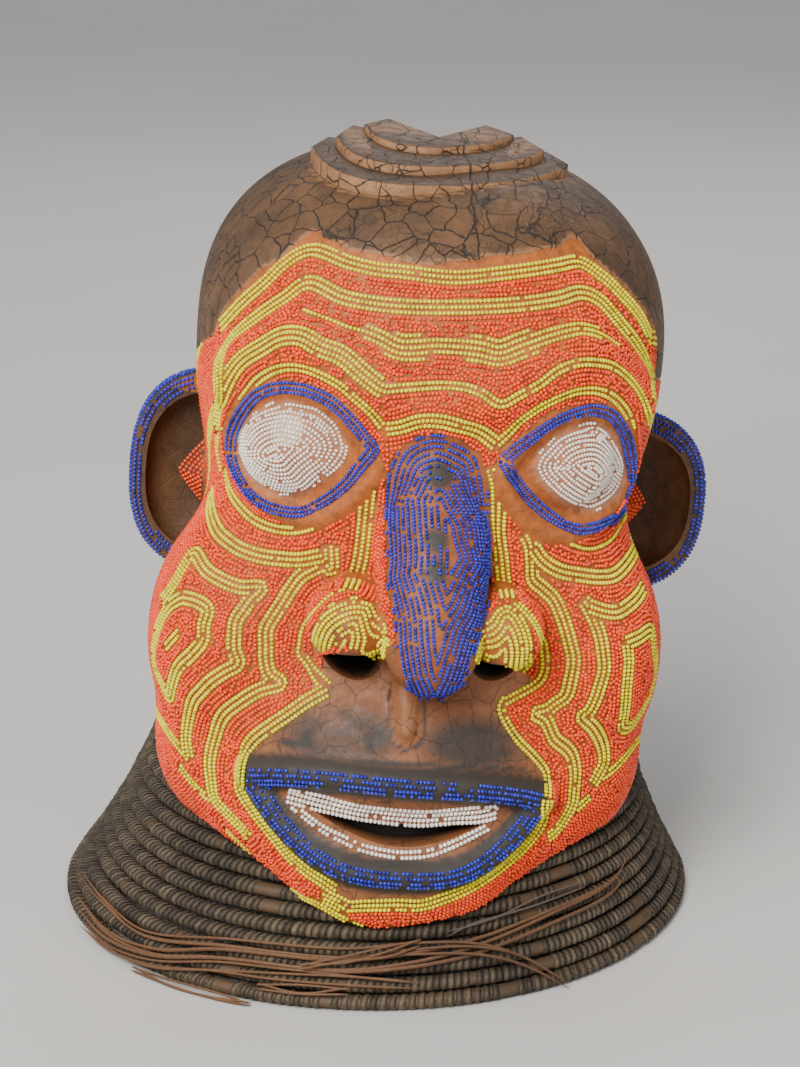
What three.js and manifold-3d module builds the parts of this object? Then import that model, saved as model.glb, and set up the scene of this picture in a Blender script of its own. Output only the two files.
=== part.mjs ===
// A carved wooden helmet mask that stands on a collar of coiled cane.
//
// Frame: millimetres, +Z up, the face looks along -Y, and +X is on the viewer's right.
// The model is built round the middle of the collar's bottom ring, and moved at the end so that the
// origin is under the middle of the whole object.
//
// The head is one carved block: face, ears and stepped crest, hollowed from below for the wearer.
// It leans a little to the viewer's right on its soft collar, so it has a frame of its own.
// Loose splints of cane, come away from the basketwork, lie round the front of the collar.

import * as THREE from "three";
import { mergeVertices } from "three/addons/utils/BufferGeometryUtils.js";
import Module from "manifold-3d";

const wasm = await Module();
wasm.setup();

const { degToRad } = THREE.MathUtils;

// Driving dimensions, in millimetres and degrees

const COLLAR_HEIGHT = 84;
const COLLAR_BOTTOM_RADIUS = 162;
const COLLAR_TOP_RADIUS = 121;
const COLLAR_FLARE = 4; // how far the side is hollowed between top and bottom
const COLLAR_COILS = 12;
const COLLAR_WALL = 8;
const COIL_GROOVE = 2.2;
const COIL_CREST = [0.3, 0.7]; // the part of a coil's height that stands proud of the grooves
const COLLAR_LEAN = 9; // how far the top ring has sunk towards +X
const COLLAR_SIDES = 32;

const HEAD_LEAN = 4.6; // towards +X, turning about the neck
const HEAD_SHIFT = 6.5;
const TOUCH_GAP = 0.35; // between pieces that rest on each other
const SEAT_GAP = 1.2; // between the jaw and the side of the collar

const AXIS_Y = 8; // the upright axis inside the head that its surface is measured from
const DOME_START = 292; // below this height the surface is cut in level rows
const HEAD_FOOT = 20;

const HOLLOW_HALF_WIDTH = 94;
const HOLLOW_DEPTH_SHARE = 1.1; // front to back, against side to side
const HOLLOW_SHOULDER = 230;
const HOLLOW_TOP = 352;
const HOLLOW_X = 2;
const HOLLOW_FOOT = -20;
const BEYOND = 60; // how far a cutter runs past what it cuts

// The head's surface is measured along rays from its axis. It is cut into cells that are halved
// wherever the surface bends, so small forms get small facets.

const CELLS_ROUND = 24;
const CELLS_UP = 16;
const HALVINGS = 4;
const SMALLEST_CELL = 4; // in steps of the finest grid: a cell this small is halved once more
const DOME_SHARE = 0.25; // the last part of the way up is a fan of rays over the dome
const STRAY_PARTS = 4; // places tested along each side of a cell
const OUTSIDE = 240; // far enough from the axis to be outside the head
const WALK_SHARE = 0.55; // of the distance left, because the fields overstate it here and there
const WALK_STEPS = 120;
const CLOSE = 0.01;
const FACET_ERRORS = [
  { beforeY: -84, error: 1.05 }, // the features
  { beforeY: 30, error: 1.7 }, // the sides, up to the outline seen from the front
  { beforeY: Infinity, error: 3.2 },
];

// The head's masses: each a rounded swelling with a centre, three radii, how softly it melts into
// the rest and how square it is. One with a turn faces outwards by that angle, and a pair stands on
// both sides of the face.

const CORE = [
  { at: [0, 8, -40], radius: 80 },
  { at: [0, 8, 190], radius: 80 },
];
const MASSES = [
  { name: "cranium", at: [4.5, 2, 287], radii: [113.5, 118, 93.5], melt: 0, square: 2.4 },
  { name: "face", at: [2, -22, 180], radii: [99, 102, 150], melt: 24, square: 2.6 },
  { name: "nape", at: [3, 24, 170], radii: [100, 106, 120], melt: 20, square: 2.4 },
  { name: "neck", at: [2.5, 2, 84], radii: [120, 120, 52], melt: 16, square: 2.3 },
  { name: "cheek", at: [77, -60, 150], radii: [47, 56, 66], melt: 16, pair: true },
  { name: "muzzle", at: [-5, -100, 104], radii: [74, 50, 56], melt: 16 },
  { name: "chin", at: [-4, -110, 54], radii: [38, 39, 35], melt: 16 },
];
const JAW = { from: [75, -68, 96], to: [24, -112, 62], radii: [38, 32], melt: 16 };
const BROW = { x: 2, melt: 14, radius: 11, sink: 5, half: [[-92, 280], [-62, 306], [-28, 290], [0, 281]] };
const EYEHOLE = { at: [66, -113, 253.5], radii: [32, 12, 30], melt: 6, pair: true, turn: 27 };
const EYEBALL = { at: [60, -92, 254], radii: [29, 22, 25.5], melt: 2, pair: true, turn: 27 };

const NOSE_RIDGE = [
  { at: [1, -108, 262], radius: 15 },
  { at: [3, -122, 220], radius: 27.5 },
  { at: [4, -150, 179], radius: 23 },
];
const NOSE_MELT = 5;
const WINGS = [
  { at: [-33, -134, 184], radii: [20, 22, 19] },
  { at: [39, -133, 183], radii: [18, 22, 19] },
];
const WING_MELT = 3;
const NOSTRILS = [
  { at: [-31, -134, 163], radii: [16, 30, 11], roll: 14 },
  { at: [38, -133, 163], radii: [13, 30, 10], roll: -8 },
];
const PHILTRUM = { top: [-4, 149], tip: [-3, 134], radii: [8.5, 5.5], sink: 2.5, melt: 2 };

// Eyelids: an almond outline round each eye, its corner towards the nose.

const EYELID = { halfWidth: 32, halfHeight: 29.5, corner: 34, pinch: 0.4, radius: 5, sink: 1.5, melt: 4 };
const EYELID_STEPS = 28;
const CORNER_POWER = 3; // how suddenly an eyelid draws out into its corner
const EYES = [
  { name: "left", x: -59.5, z: 253, side: -1 },
  { name: "right", x: 66, z: 251.5, side: 1 },
];

// Lips: arcs between the corners of the mouth, rising or sagging by their bow.

const MOUTH = { left: [-73, 103], right: [64, 98.5] };
const LIPS = [
  { name: "upper", bow: 10.5, power: 3, radius: 8, sink: 1, steps: 10 },
  { name: "lower", bow: -36, power: 3, radius: 7, sink: 1, steps: 14 },
];
const LIP_MELT = 4;
const MOUTH_HOLLOW = { at: [-5, -162, 88], radii: [60, 20, 18], melt: 4 };
const MOUTH_SLIT = { from: [-50, 97], to: [41, 92], sag: 6.5, height: 10.5, depth: 52, steps: 8 };
const FACE_FRONT_Y = -50; // brow, lids and lips lie before this
const MIDFACE_Z = 200; // between the lids above and the lips below

// The crest: three terraces with straight risers, widest at the bottom. Each is a band bent to a
// blunt point in front, its apex, with its ends cut off aslant and a notch behind.

const CREST_DIP = 4.6; // the terraces dip towards the face
const CREST_ROOT = 335;
const CREST_TIERS = [
  { corner: 62, cornerY: -2, front: -63, apex: -20, endX: 54, endY: 17, notch: 0, top: 379.8 },
  { corner: 50.5, cornerY: 3.5, front: -45, apex: -17, endX: 42, endY: 26, notch: -2, top: 384.2 },
  { corner: 36.5, cornerY: 17, front: -21.5, apex: -10, endX: 25, endY: 31, notch: 1, top: 387.4 },
];
const CREST_CENTRE_X = 2;
const CREST_ARC_STEPS = 14;
const CREST_ARC_POWER = 1.3; // over 1 draws the front of a terrace to a point

// Ears: thick bowls that open forwards, with a pointed lobe against the cheek.

const EARS = [
  { name: "left", side: -1, root: 95, reach: 42, z: 209, halfHeight: 51 },
  { name: "right", side: 1, root: 103, reach: 48, z: 206, halfHeight: 47 },
];
const EAR_Y = 12; // the plane of the rim
const EAR_DEPTH = 24;
const EAR_WALL = 6.5; // at the side
const EAR_BROAD_WALL = 9.5; // at the top and bottom
const EAR_SQUARE = 2.5;
const EAR_DISH = 15;
const EAR_RIM_SHARE = 0.25; // of the dish's depth that is cut off to leave a flat rim
const EAR_FACETS = [20, 8];
const LOBE = { reach: 19, depth: 15, halfHeight: 22 };

// Loose splints: each is given by places on the collar's side, as an angle from the front towards
// +X, a height and how far it stands off the coils.

const SPLINTS = [
  {
    name: "splint_long",
    radius: 1.3,
    path: [
      [-80, 17, 3], [-65, 18, 3], [-50, 16, 3], [-32, 23, 3], [-9, 25, 3],
      [2, 27.5, 3.5], [14, 27, 7], [23, 18, 4], [31, 3, 3.5],
    ],
  },
  {
    name: "splint_broad",
    radius: 1.9,
    path: [
      [-74, 10.5, 4], [-58, 9, 4], [-45, 11.5, 4], [-33, 18, 3.5], [-10, 20, 3.5],
      [2, 22.5, 3.5], [14, 26, 3], [30, 32, 3], [48, 35, 3], [56, 41, 3],
    ],
  },
  {
    name: "splint_under",
    radius: 1.3,
    path: [
      [-68, 5.5, 3], [-56, 4.5, 3], [-45, 6.5, 3], [-32, 13, 3], [-22, 15, 3], [-9, 15.5, 3],
      [4, 13, 3],
    ],
  },
  {
    name: "splint_crossing",
    radius: 1.3,
    path: [[-17, 21, 8], [-9, 25, 8.5], [-2, 28.5, 8], [4, 31.5, 6]],
  },
  {
    name: "splint_grey",
    radius: 1.1,
    path: [[9, 32, 3], [14, 35, 3], [20, 37.5, 3], [28, 40, 3], [40, 40, 3]],
  },
  {
    name: "splint_low",
    radius: 1.2,
    path: [[-24, 9.5, 3], [-16, 9.5, 3], [-8, 11, 3]],
  },
  {
    name: "splint_edge",
    radius: 1.2,
    path: [[-49, 2.2, 3], [-40, 1.8, 3], [-31, 1.6, 3], [-24, 1.6, 3]],
  },
];
const SPLINT_SIDES = 4;
const SPLINT_STEP = 16;

// Colours read from the surfaces

const WOOD = new THREE.MeshStandardMaterial({ name: "wood", color: 0x6e4a33, roughness: 0.75 });
const CANE = new THREE.MeshStandardMaterial({ name: "cane", color: 0x3f372f, roughness: 0.9 });
const SPLINT = new THREE.MeshStandardMaterial({ name: "splint", color: 0x7a5540, roughness: 0.8 });

// Solids

/** A closed three.js geometry as a solid that can be joined and cut. */
function solidFrom(geometry) {
  const bare = new THREE.BufferGeometry();
  const loose = geometry.index ? geometry.toNonIndexed() : geometry;
  bare.setAttribute("position", loose.getAttribute("position").clone());
  const merged = mergeVertices(bare, 1e-3);
  return new wasm.Manifold(
    new wasm.Mesh({
      numProp: 3,
      vertProperties: merged.attributes.position.array,
      triVerts: new Uint32Array(merged.index.array),
    }),
  );
}

/** A solid as a three.js geometry. */
function geometryFrom(solid) {
  const mesh = solid.getMesh();
  const geometry = new THREE.BufferGeometry();
  geometry.setAttribute("position", new THREE.BufferAttribute(mesh.vertProperties, 3));
  geometry.setIndex(new THREE.BufferAttribute(mesh.triVerts, 1));
  geometry.computeVertexNormals();
  return geometry;
}

/** The largest of a solid's separate bodies, which drops what a cut leaves loose. */
const mainBody = (solid) => solid.decompose().sort((a, b) => b.volume() - a.volume())[0];

function namedMesh(name, solid, material) {
  const mesh = new THREE.Mesh(geometryFrom(solid), material);
  mesh.name = name;
  return mesh;
}

// Distance fields: each gives how far a point is outside a form, and is negative inside it.

function swelling(form, side = 1) {
  const [cx, cy, cz] = form.at;
  const [rx, ry, rz] = form.radii;
  const power = form.square ?? 2;
  const cos = Math.cos(degToRad(form.turn ?? 0));
  const sin = Math.sin(degToRad(form.turn ?? 0));
  const least = Math.min(rx, ry, rz);
  return (x, y, z) => {
    const dx = x * side - cx;
    const dy = y - cy;
    const u = Math.abs((dx * cos + dy * sin) / rx);
    const v = Math.abs((dy * cos - dx * sin) / ry);
    const w = Math.abs((z - cz) / rz);
    return ((u ** power + v ** power + w ** power) ** (1 / power) - 1) * least;
  };
}

function rod(a, b) {
  const [ax, ay, az] = a.at;
  const [dx, dy, dz] = b.at.map((value, i) => value - a.at[i]);
  const squared = dx * dx + dy * dy + dz * dz;
  return (x, y, z) => {
    const along = ((x - ax) * dx + (y - ay) * dy + (z - az) * dz) / squared;
    const t = Math.min(1, Math.max(0, along));
    const distance = Math.hypot(x - ax - dx * t, y - ay - dy * t, z - az - dz * t);
    return distance - (a.radius + (b.radius - a.radius) * t);
  };
}

const rodsAlong = (ends) => ends.slice(1).map((end, i) => rod(ends[i], end));

const nearest = (fields) => (x, y, z) => {
  let least = Infinity;
  for (const field of fields) least = Math.min(least, field(x, y, z));
  return least;
};

function join(a, b, melt) {
  if (melt <= 0) return Math.min(a, b);
  const share = Math.max(0, melt - Math.abs(a - b)) / melt;
  return Math.min(a, b) - (share * share * melt) / 4;
}

const carve = (a, b, melt) => -join(-a, b, melt);

/** One field for a form, or two where it stands on both sides. */
const bothSides = (form) => (form.pair ? [swelling(form), swelling(form, -1)] : [swelling(form)]);

function jawRods() {
  return [1, -1].map((side) => {
    const ends = [JAW.from, JAW.to].map(([x, y, z], i) => ({ at: [x * side, y, z], radius: JAW.radii[i] }));
    return rod(...ends);
  });
}

const steps = [
  ...MASSES.flatMap((form) => bothSides(form).map((field) => ({ field, melt: form.melt, act: join }))),
  ...jawRods().map((field) => ({ field, melt: JAW.melt, act: join })),
  ...bothSides(EYEHOLE).map((field) => ({ field, melt: EYEHOLE.melt, act: carve })),
  ...bothSides(EYEBALL).map((field) => ({ field, melt: EYEBALL.melt, act: join })),
  { field: nearest(rodsAlong(NOSE_RIDGE)), melt: NOSE_MELT, act: join },
  ...WINGS.map((form) => ({ field: swelling(form), melt: WING_MELT, act: join })),
  { field: swelling(MOUTH_HOLLOW), melt: MOUTH_HOLLOW.melt, act: carve },
];
const coreField = rod(...CORE);

/** The head without its eyelids and lips. */
function plainHead(x, y, z) {
  return steps.reduce((d, step) => step.act(d, step.field(x, y, z), step.melt), coreField(x, y, z));
}

/** Walks inwards from outside the head to its surface, and returns how far out that is. */
function surfaceReach(field, origin, direction) {
  let reach = OUTSIDE;
  for (let step = 0; step < WALK_STEPS; step++) {
    const d = field(...origin.map((value, i) => value + direction[i] * reach));
    if (d < CLOSE) break;
    reach -= Math.max(WALK_SHARE * d, CLOSE);
  }
  return reach;
}

/** The face's y where a line of sight from the front meets it. */
const faceY = (x, z) => -surfaceReach(plainHead, [x, 0, z], [0, -1, 0]);

/** Rods of a radius that follow a line of (x, z) places over the face, sunk into it a little. */
function ridge(line, radius, sink) {
  return rodsAlong(line.map(([x, z]) => ({ at: [x, faceY(x, z) + sink, z], radius })));
}

function eyelidLine(eye) {
  return Array.from({ length: EYELID_STEPS }, (_, i) => {
    const turn = (i / EYELID_STEPS) * 2 * Math.PI;
    const inward = Math.max(0, -Math.cos(turn)) ** CORNER_POWER;
    const width = EYELID.halfWidth + inward * (EYELID.corner - EYELID.halfWidth);
    const height = EYELID.halfHeight * (1 - EYELID.pinch * inward);
    return [eye.x + eye.side * width * Math.cos(turn), eye.z + height * Math.sin(turn)];
  });
}

function lipLine(lip) {
  return Array.from({ length: lip.steps + 1 }, (_, i) => {
    const along = i / lip.steps;
    const x = THREE.MathUtils.lerp(MOUTH.left[0], MOUTH.right[0], along);
    const z = THREE.MathUtils.lerp(MOUTH.left[1], MOUTH.right[1], along);
    return [x, z + lip.bow * (1 - Math.abs(2 * along - 1) ** lip.power)];
  });
}

const lidField = nearest(
  EYES.flatMap((eye) => {
    const line = eyelidLine(eye);
    return ridge([...line, line[0]], EYELID.radius, EYELID.sink);
  }),
);
const lipField = nearest(LIPS.flatMap((lip) => ridge(lipLine(lip), lip.radius, lip.sink)));
const browLine = [...BROW.half, ...BROW.half.slice(0, -1).reverse().map(([x, z]) => [-x, z])];
const browField = nearest(ridge(browLine.map(([x, z]) => [x + BROW.x, z]), BROW.radius, BROW.sink));
const philtrumField = nearest(
  rodsAlong(
    [PHILTRUM.top, PHILTRUM.tip].map(([x, z], i) => {
      return { at: [x, faceY(x, z) + PHILTRUM.sink, z], radius: PHILTRUM.radii[i] };
    }),
  ),
);

/** The whole outer form of the head, ears and crest aside. */
function head(x, y, z) {
  const d = plainHead(x, y, z);
  if (y > FACE_FRONT_Y) return d;
  if (z > MIDFACE_Z) {
    return join(join(d, browField(x, y, z), BROW.melt), lidField(x, y, z), EYELID.melt);
  }
  return join(join(d, philtrumField(x, y, z), PHILTRUM.melt), lipField(x, y, z), LIP_MELT);
}

const FINE = 2 ** HALVINGS;
const FINE_ROUND = CELLS_ROUND * FINE;
const FINE_UP = CELLS_UP * FINE;

function rayAt(around, up) {
  const angle = (around / FINE_ROUND) * 2 * Math.PI;
  const share = up / FINE_UP;
  const onDome = Math.max(0, share - (1 - DOME_SHARE)) / DOME_SHARE;
  const level = Math.min(1, share / (1 - DOME_SHARE));
  const lift = (onDome * Math.PI) / 2;
  return {
    origin: [0, AXIS_Y, HEAD_FOOT + (DOME_START - HEAD_FOOT) * level],
    direction: [-Math.sin(angle) * Math.cos(lift), Math.cos(angle) * Math.cos(lift), Math.sin(lift)],
  };
}

/** The head's surface as cells of a grid of rays, halved where it bends. */
class HeadSurface {
  places = new Map();
  corners = new Set();
  cells = [];

  key(around, up) {
    return up >= FINE_UP ? FINE_UP * FINE_ROUND : up * FINE_ROUND + (around % FINE_ROUND);
  }

  place(around, up) {
    const key = this.key(around, up);
    if (!this.places.has(key)) {
      const { origin, direction } = rayAt(around, up);
      const reach = surfaceReach(head, origin, direction);
      const place = new THREE.Vector3(...direction).multiplyScalar(reach);
      this.places.set(key, place.add(new THREE.Vector3(...origin)));
    }
    return this.places.get(key);
  }

  /** How far the surface strays from a flat cell. */
  stray(around, up, size) {
    const [a, b, c, d] = [
      this.place(around, up),
      this.place(around + size, up),
      this.place(around, up + size),
      this.place(around + size, up + size),
    ];
    let worst = 0;
    for (let i = 0; i <= STRAY_PARTS; i++) {
      for (let j = 0; j <= STRAY_PARTS; j++) {
        const low = a.clone().lerp(b, i / STRAY_PARTS);
        const flat = low.lerp(c.clone().lerp(d, i / STRAY_PARTS), j / STRAY_PARTS);
        worst = Math.max(worst, Math.abs(head(...flat)));
      }
    }
    return worst;
  }

  divide(around, up, size) {
    const half = size / 2;
    const { y } = this.place(around + half, up + half);
    const allowed = FACET_ERRORS.find(({ beforeY }) => y < beforeY).error;
    if (size >= SMALLEST_CELL && this.stray(around, up, size) > allowed) {
      const quarters = [[0, 0], [half, 0], [0, half], [half, half]];
      for (const [i, j] of quarters) this.divide(around + i, up + j, half);
      return;
    }
    this.cells.push([around, up, size]);
    for (const [i, j] of [[0, 0], [size, 0], [0, size], [size, size]]) {
      this.place(around + i, up + j);
      this.corners.add(this.key(around + i, up + j));
    }
  }

  /** The corners round a cell, with those that smaller neighbours put on its sides. */
  outline([around, up, size]) {
    const keys = [];
    const walk = [[1, 0, 0, 0], [0, 1, size, 0], [-1, 0, size, size], [0, -1, 0, size]];
    for (const [di, dj, i, j] of walk) {
      for (let s = 0; s < size; s++) {
        const key = this.key(around + i + di * s, up + j + dj * s);
        if (this.corners.has(key) && keys.at(-1) !== key) keys.push(key);
      }
    }
    if (keys.length > 1 && keys[0] === keys.at(-1)) keys.pop();
    return keys;
  }

  geometry() {
    for (let up = 0; up < FINE_UP; up += FINE) {
      for (let around = 0; around < FINE_ROUND; around += FINE) this.divide(around, up, FINE);
    }
    const faces = [];
    for (const cell of this.cells) {
      const keys = this.outline(cell);
      if (keys.length > 4) {
        const [around, up, size] = cell;
        this.place(around + size / 2, up + size / 2);
        const middle = this.key(around + size / 2, up + size / 2);
        keys.forEach((key, i) => faces.push(key, keys[(i + 1) % keys.length], middle));
      } else {
        const [a, b, c, d] = keys.map((key) => this.places.get(key));
        const cutAcross = d && b.distanceTo(d) < a.distanceTo(c);
        const order = cutAcross ? [0, 1, 3, 1, 2, 3] : [0, 1, 2, 0, 2, 3];
        const used = d ? order : [0, 1, 2];
        faces.push(...used.map((i) => keys[i]));
      }
    }
    const foot = [...this.corners].filter((key) => key < FINE_ROUND).sort((a, b) => a - b);
    foot.forEach((key, i) => faces.push(foot[(i + 1) % foot.length], key, -1));
    this.places.set(-1, new THREE.Vector3(0, AXIS_Y, HEAD_FOOT));
    const geometry = new THREE.BufferGeometry();
    const positions = faces.flatMap((key) => this.places.get(key).toArray());
    geometry.setAttribute("position", new THREE.Float32BufferAttribute(positions, 3));
    return geometry;
  }
}

// Cutters and added forms, in the head's frame

/** The hollow for the wearer: straight sides and a rounded top. */
function hollowForm() {
  const arc = 8;
  const shoulder = Array.from({ length: arc }, (_, i) => {
    const turn = (Math.PI / 2) * (i / arc);
    const z = HOLLOW_SHOULDER + (HOLLOW_TOP - HOLLOW_SHOULDER) * Math.sin(turn);
    return new THREE.Vector2(HOLLOW_HALF_WIDTH * Math.cos(turn), z);
  });
  const below = [new THREE.Vector2(0, HOLLOW_FOOT), new THREE.Vector2(HOLLOW_HALF_WIDTH, HOLLOW_FOOT)];
  return new THREE.LatheGeometry([...below, ...shoulder, new THREE.Vector2(0, HOLLOW_TOP)], 24)
    .rotateX(Math.PI / 2)
    .scale(1, HOLLOW_DEPTH_SHARE, 1)
    .translate(HOLLOW_X, AXIS_Y, 0);
}

/** A flat outline in (x, y), raised from one height to another. */
function raised(points, bottom, top) {
  const shape = new THREE.Shape(points.map(([x, y]) => new THREE.Vector2(x, y)));
  const depth = top - bottom;
  return new THREE.ExtrudeGeometry(shape, { depth, bevelEnabled: false }).translate(0, 0, bottom);
}

function crestTier(tier) {
  const points = Array.from({ length: CREST_ARC_STEPS + 1 }, (_, i) => {
    const turn = Math.PI * (i / CREST_ARC_STEPS);
    const forward = Math.sin(turn);
    const depth = (tier.cornerY - tier.front) * forward ** CREST_ARC_POWER;
    return [tier.apex * forward ** 2 - tier.corner * Math.cos(turn), tier.cornerY - depth];
  });
  points.push([tier.endX, tier.endY], [0, tier.notch], [-tier.endX, tier.endY]);
  return raised(points, CREST_ROOT, tier.top)
    .rotateX(degToRad(CREST_DIP))
    .translate(CREST_CENTRE_X, CREST_ROOT * Math.sin(degToRad(CREST_DIP)), 0);
}

/** A rounded form, squarer than an ellipsoid when its power is over 2. */
function bowl(radii, width, height, power = 2) {
  const geometry = new THREE.SphereGeometry(1, width, height).rotateX(Math.PI / 2);
  const position = geometry.getAttribute("position");
  const place = new THREE.Vector3();
  for (let i = 0; i < position.count; i++) {
    place.fromBufferAttribute(position, i);
    const sum = Math.abs(place.x) ** power + Math.abs(place.y) ** power + Math.abs(place.z) ** power;
    place.divideScalar(sum ** (1 / power));
    position.setXYZ(i, ...place);
  }
  return geometry.scale(...radii);
}

/** An ear: a thick bowl with a flat rim, and its lobe. */
function earSolid(ear) {
  const place = (geometry, x = 0) => solidFrom(geometry.translate(ear.side * (ear.root + x), EAR_Y, ear.z));
  const outer = place(bowl([ear.reach, EAR_DEPTH, ear.halfHeight], ...EAR_FACETS, EAR_SQUARE));
  const inner = [ear.reach - EAR_WALL, EAR_DISH, ear.halfHeight - EAR_BROAD_WALL];
  const dish = place(bowl(inner, ...EAR_FACETS, EAR_SQUARE));
  const across = 4 * ear.halfHeight;
  const before = new THREE.BoxGeometry(across, BEYOND, across);
  const front = place(before.translate(0, -BEYOND / 2 - EAR_DISH * EAR_RIM_SHARE, 0));
  const lobe = place(new THREE.OctahedronGeometry(1, 0).scale(LOBE.reach, LOBE.depth, LOBE.halfHeight));
  return outer.subtract(dish).subtract(front).add(lobe);
}

function nostrilSolid(nostril) {
  const form = bowl(nostril.radii, 14, 8).rotateY(degToRad(nostril.roll)).translate(...nostril.at);
  return solidFrom(form);
}

/** The opening between the rows of teeth, which ends just before the wall of the collar. */
function mouthSlitForm() {
  const { from, to, sag, height, depth, steps: count } = MOUTH_SLIT;
  const along = (t, rise) => [
    THREE.MathUtils.lerp(from[0], to[0], t),
    THREE.MathUtils.lerp(from[1], to[1], t) - (sag + rise) * Math.sin(Math.PI * t),
  ];
  const upper = Array.from({ length: count + 1 }, (_, i) => along(i / count, 0));
  const lower = Array.from({ length: count - 1 }, (_, i) => along((count - 1 - i) / count, height));
  const before = MOUTH_HOLLOW.at[1] - MOUTH_HOLLOW.radii[1];
  return raised([...upper, ...lower].map(([x, z]) => [x, -z]), 0, depth)
    .rotateX(-Math.PI / 2)
    .translate(0, before, 0);
}

// The collar

/** The collar's outer radius at a height, over the crests of its coils. */
function collarRadius(z) {
  const share = z / COLLAR_HEIGHT;
  const straight = COLLAR_BOTTOM_RADIUS + (COLLAR_TOP_RADIUS - COLLAR_BOTTOM_RADIUS) * share;
  return straight - COLLAR_FLARE * 4 * share * (1 - share);
}

/** Shifts a form on the collar's axis sideways, more the higher it is. */
function leanWithCollar(geometry) {
  const position = geometry.getAttribute("position");
  for (let i = 0; i < position.count; i++) {
    const share = Math.min(1, Math.max(0, position.getZ(i) / COLLAR_HEIGHT));
    position.setX(i, position.getX(i) + COLLAR_LEAN * share);
  }
  return geometry;
}

/** What the collar takes up, with a clearance: the head is cut to sit over it. */
function collarSeat() {
  const levels = [0, 0.25, 0.5, 0.75, 1];
  const profile = [
    new THREE.Vector2(0, -BEYOND),
    new THREE.Vector2(COLLAR_BOTTOM_RADIUS + SEAT_GAP, -BEYOND),
    ...levels.map((share) => {
      const z = COLLAR_HEIGHT * share;
      return new THREE.Vector2(collarRadius(z) + SEAT_GAP, z + (share === 1 ? TOUCH_GAP : 0));
    }),
    new THREE.Vector2(0, COLLAR_HEIGHT + TOUCH_GAP),
  ];
  return leanWithCollar(new THREE.LatheGeometry(profile, COLLAR_SIDES).rotateX(Math.PI / 2));
}

/** The coiled wall: a row of ridges outside, a plain slope inside, flat at the foot and the top. */
function collarForm() {
  const pitch = COLLAR_HEIGHT / COLLAR_COILS;
  const profile = [];
  for (let coil = 0; coil < COLLAR_COILS; coil++) {
    for (const [share, inset] of [[0, COIL_GROOVE], ...COIL_CREST.map((share) => [share, 0])]) {
      const z = (coil + share) * pitch;
      profile.push(new THREE.Vector2(collarRadius(z) - inset, z));
    }
  }
  profile.push(new THREE.Vector2(COLLAR_TOP_RADIUS - COIL_GROOVE, COLLAR_HEIGHT));
  for (const share of [1, 2 / 3, 1 / 3, 0]) {
    const z = COLLAR_HEIGHT * share;
    profile.push(new THREE.Vector2(collarRadius(z) - COLLAR_WALL, z));
  }
  profile.push(profile[0].clone());
  return leanWithCollar(new THREE.LatheGeometry(profile, COLLAR_SIDES).rotateX(Math.PI / 2));
}

function collarPlace([angle, z, standOff]) {
  const radius = collarRadius(z) + standOff;
  const turn = degToRad(angle);
  const shift = (COLLAR_LEAN * z) / COLLAR_HEIGHT;
  return new THREE.Vector3(radius * Math.sin(turn) + shift, -radius * Math.cos(turn), z);
}

function roundShape(radius, sides) {
  const turn = (2 * Math.PI) / sides;
  const ring = Array.from({ length: sides }, (_, i) => {
    return new THREE.Vector2(radius * Math.cos(turn * i), radius * Math.sin(turn * i));
  });
  return new THREE.Shape(ring);
}

function splintForm(splint) {
  const curve = new THREE.CatmullRomCurve3(splint.path.map(collarPlace), false, "centripetal");
  const count = Math.ceil(curve.getLength() / SPLINT_STEP);
  return new THREE.ExtrudeGeometry(roundShape(splint.radius, SPLINT_SIDES), {
    steps: count,
    bevelEnabled: false,
    extrudePath: curve,
  });
}

// Assembly

const headFrame = new THREE.Group();
headFrame.position.set(HEAD_SHIFT, 0, COLLAR_HEIGHT);
headFrame.rotation.y = degToRad(HEAD_LEAN);
const aboveNeck = new THREE.Group();
aboveNeck.position.z = -COLLAR_HEIGHT;
headFrame.add(aboveNeck);
headFrame.updateMatrixWorld(true);
const intoHeadFrame = aboveNeck.matrixWorld.clone().invert();

function buildHead() {
  let block = solidFrom(new HeadSurface().geometry());
  for (const ear of EARS) block = block.add(earSolid(ear));
  for (const tier of CREST_TIERS) block = block.add(solidFrom(crestTier(tier)));
  block = block.subtract(solidFrom(hollowForm()));
  for (const nostril of NOSTRILS) block = block.subtract(nostrilSolid(nostril));
  block = block.subtract(solidFrom(mouthSlitForm()));
  block = block.subtract(solidFrom(collarSeat().applyMatrix4(intoHeadFrame)));
  return mainBody(block);
}

aboveNeck.add(namedMesh("carved_head", buildHead(), WOOD));

const mask = new THREE.Group();
mask.add(headFrame);
mask.add(namedMesh("basket_collar", solidFrom(collarForm()), CANE));
for (const splint of SPLINTS) mask.add(namedMesh(splint.name, solidFrom(splintForm(splint)), SPLINT));

const middle = new THREE.Box3().setFromObject(mask, true).getCenter(new THREE.Vector3());
mask.position.set(-middle.x, -middle.y, 0);

export default mask;
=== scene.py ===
"""The look of a carved helmet mask, covered with glass beads, on its collar of coiled cane.

Shapes are worked out in millimetres in two frames. The head's own frame stands upright, with its face
along -Y. The mask frame is the one it stands in, where the head leans on its collar. Meshes are made in
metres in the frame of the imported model.
"""

import logging
import math
from collections import defaultdict
from collections.abc import Callable, Iterable, Sequence
from dataclasses import dataclass, field, replace
from enum import Enum
from functools import partial

import bpy
import numpy as np
from mathutils import Matrix, Vector


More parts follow.
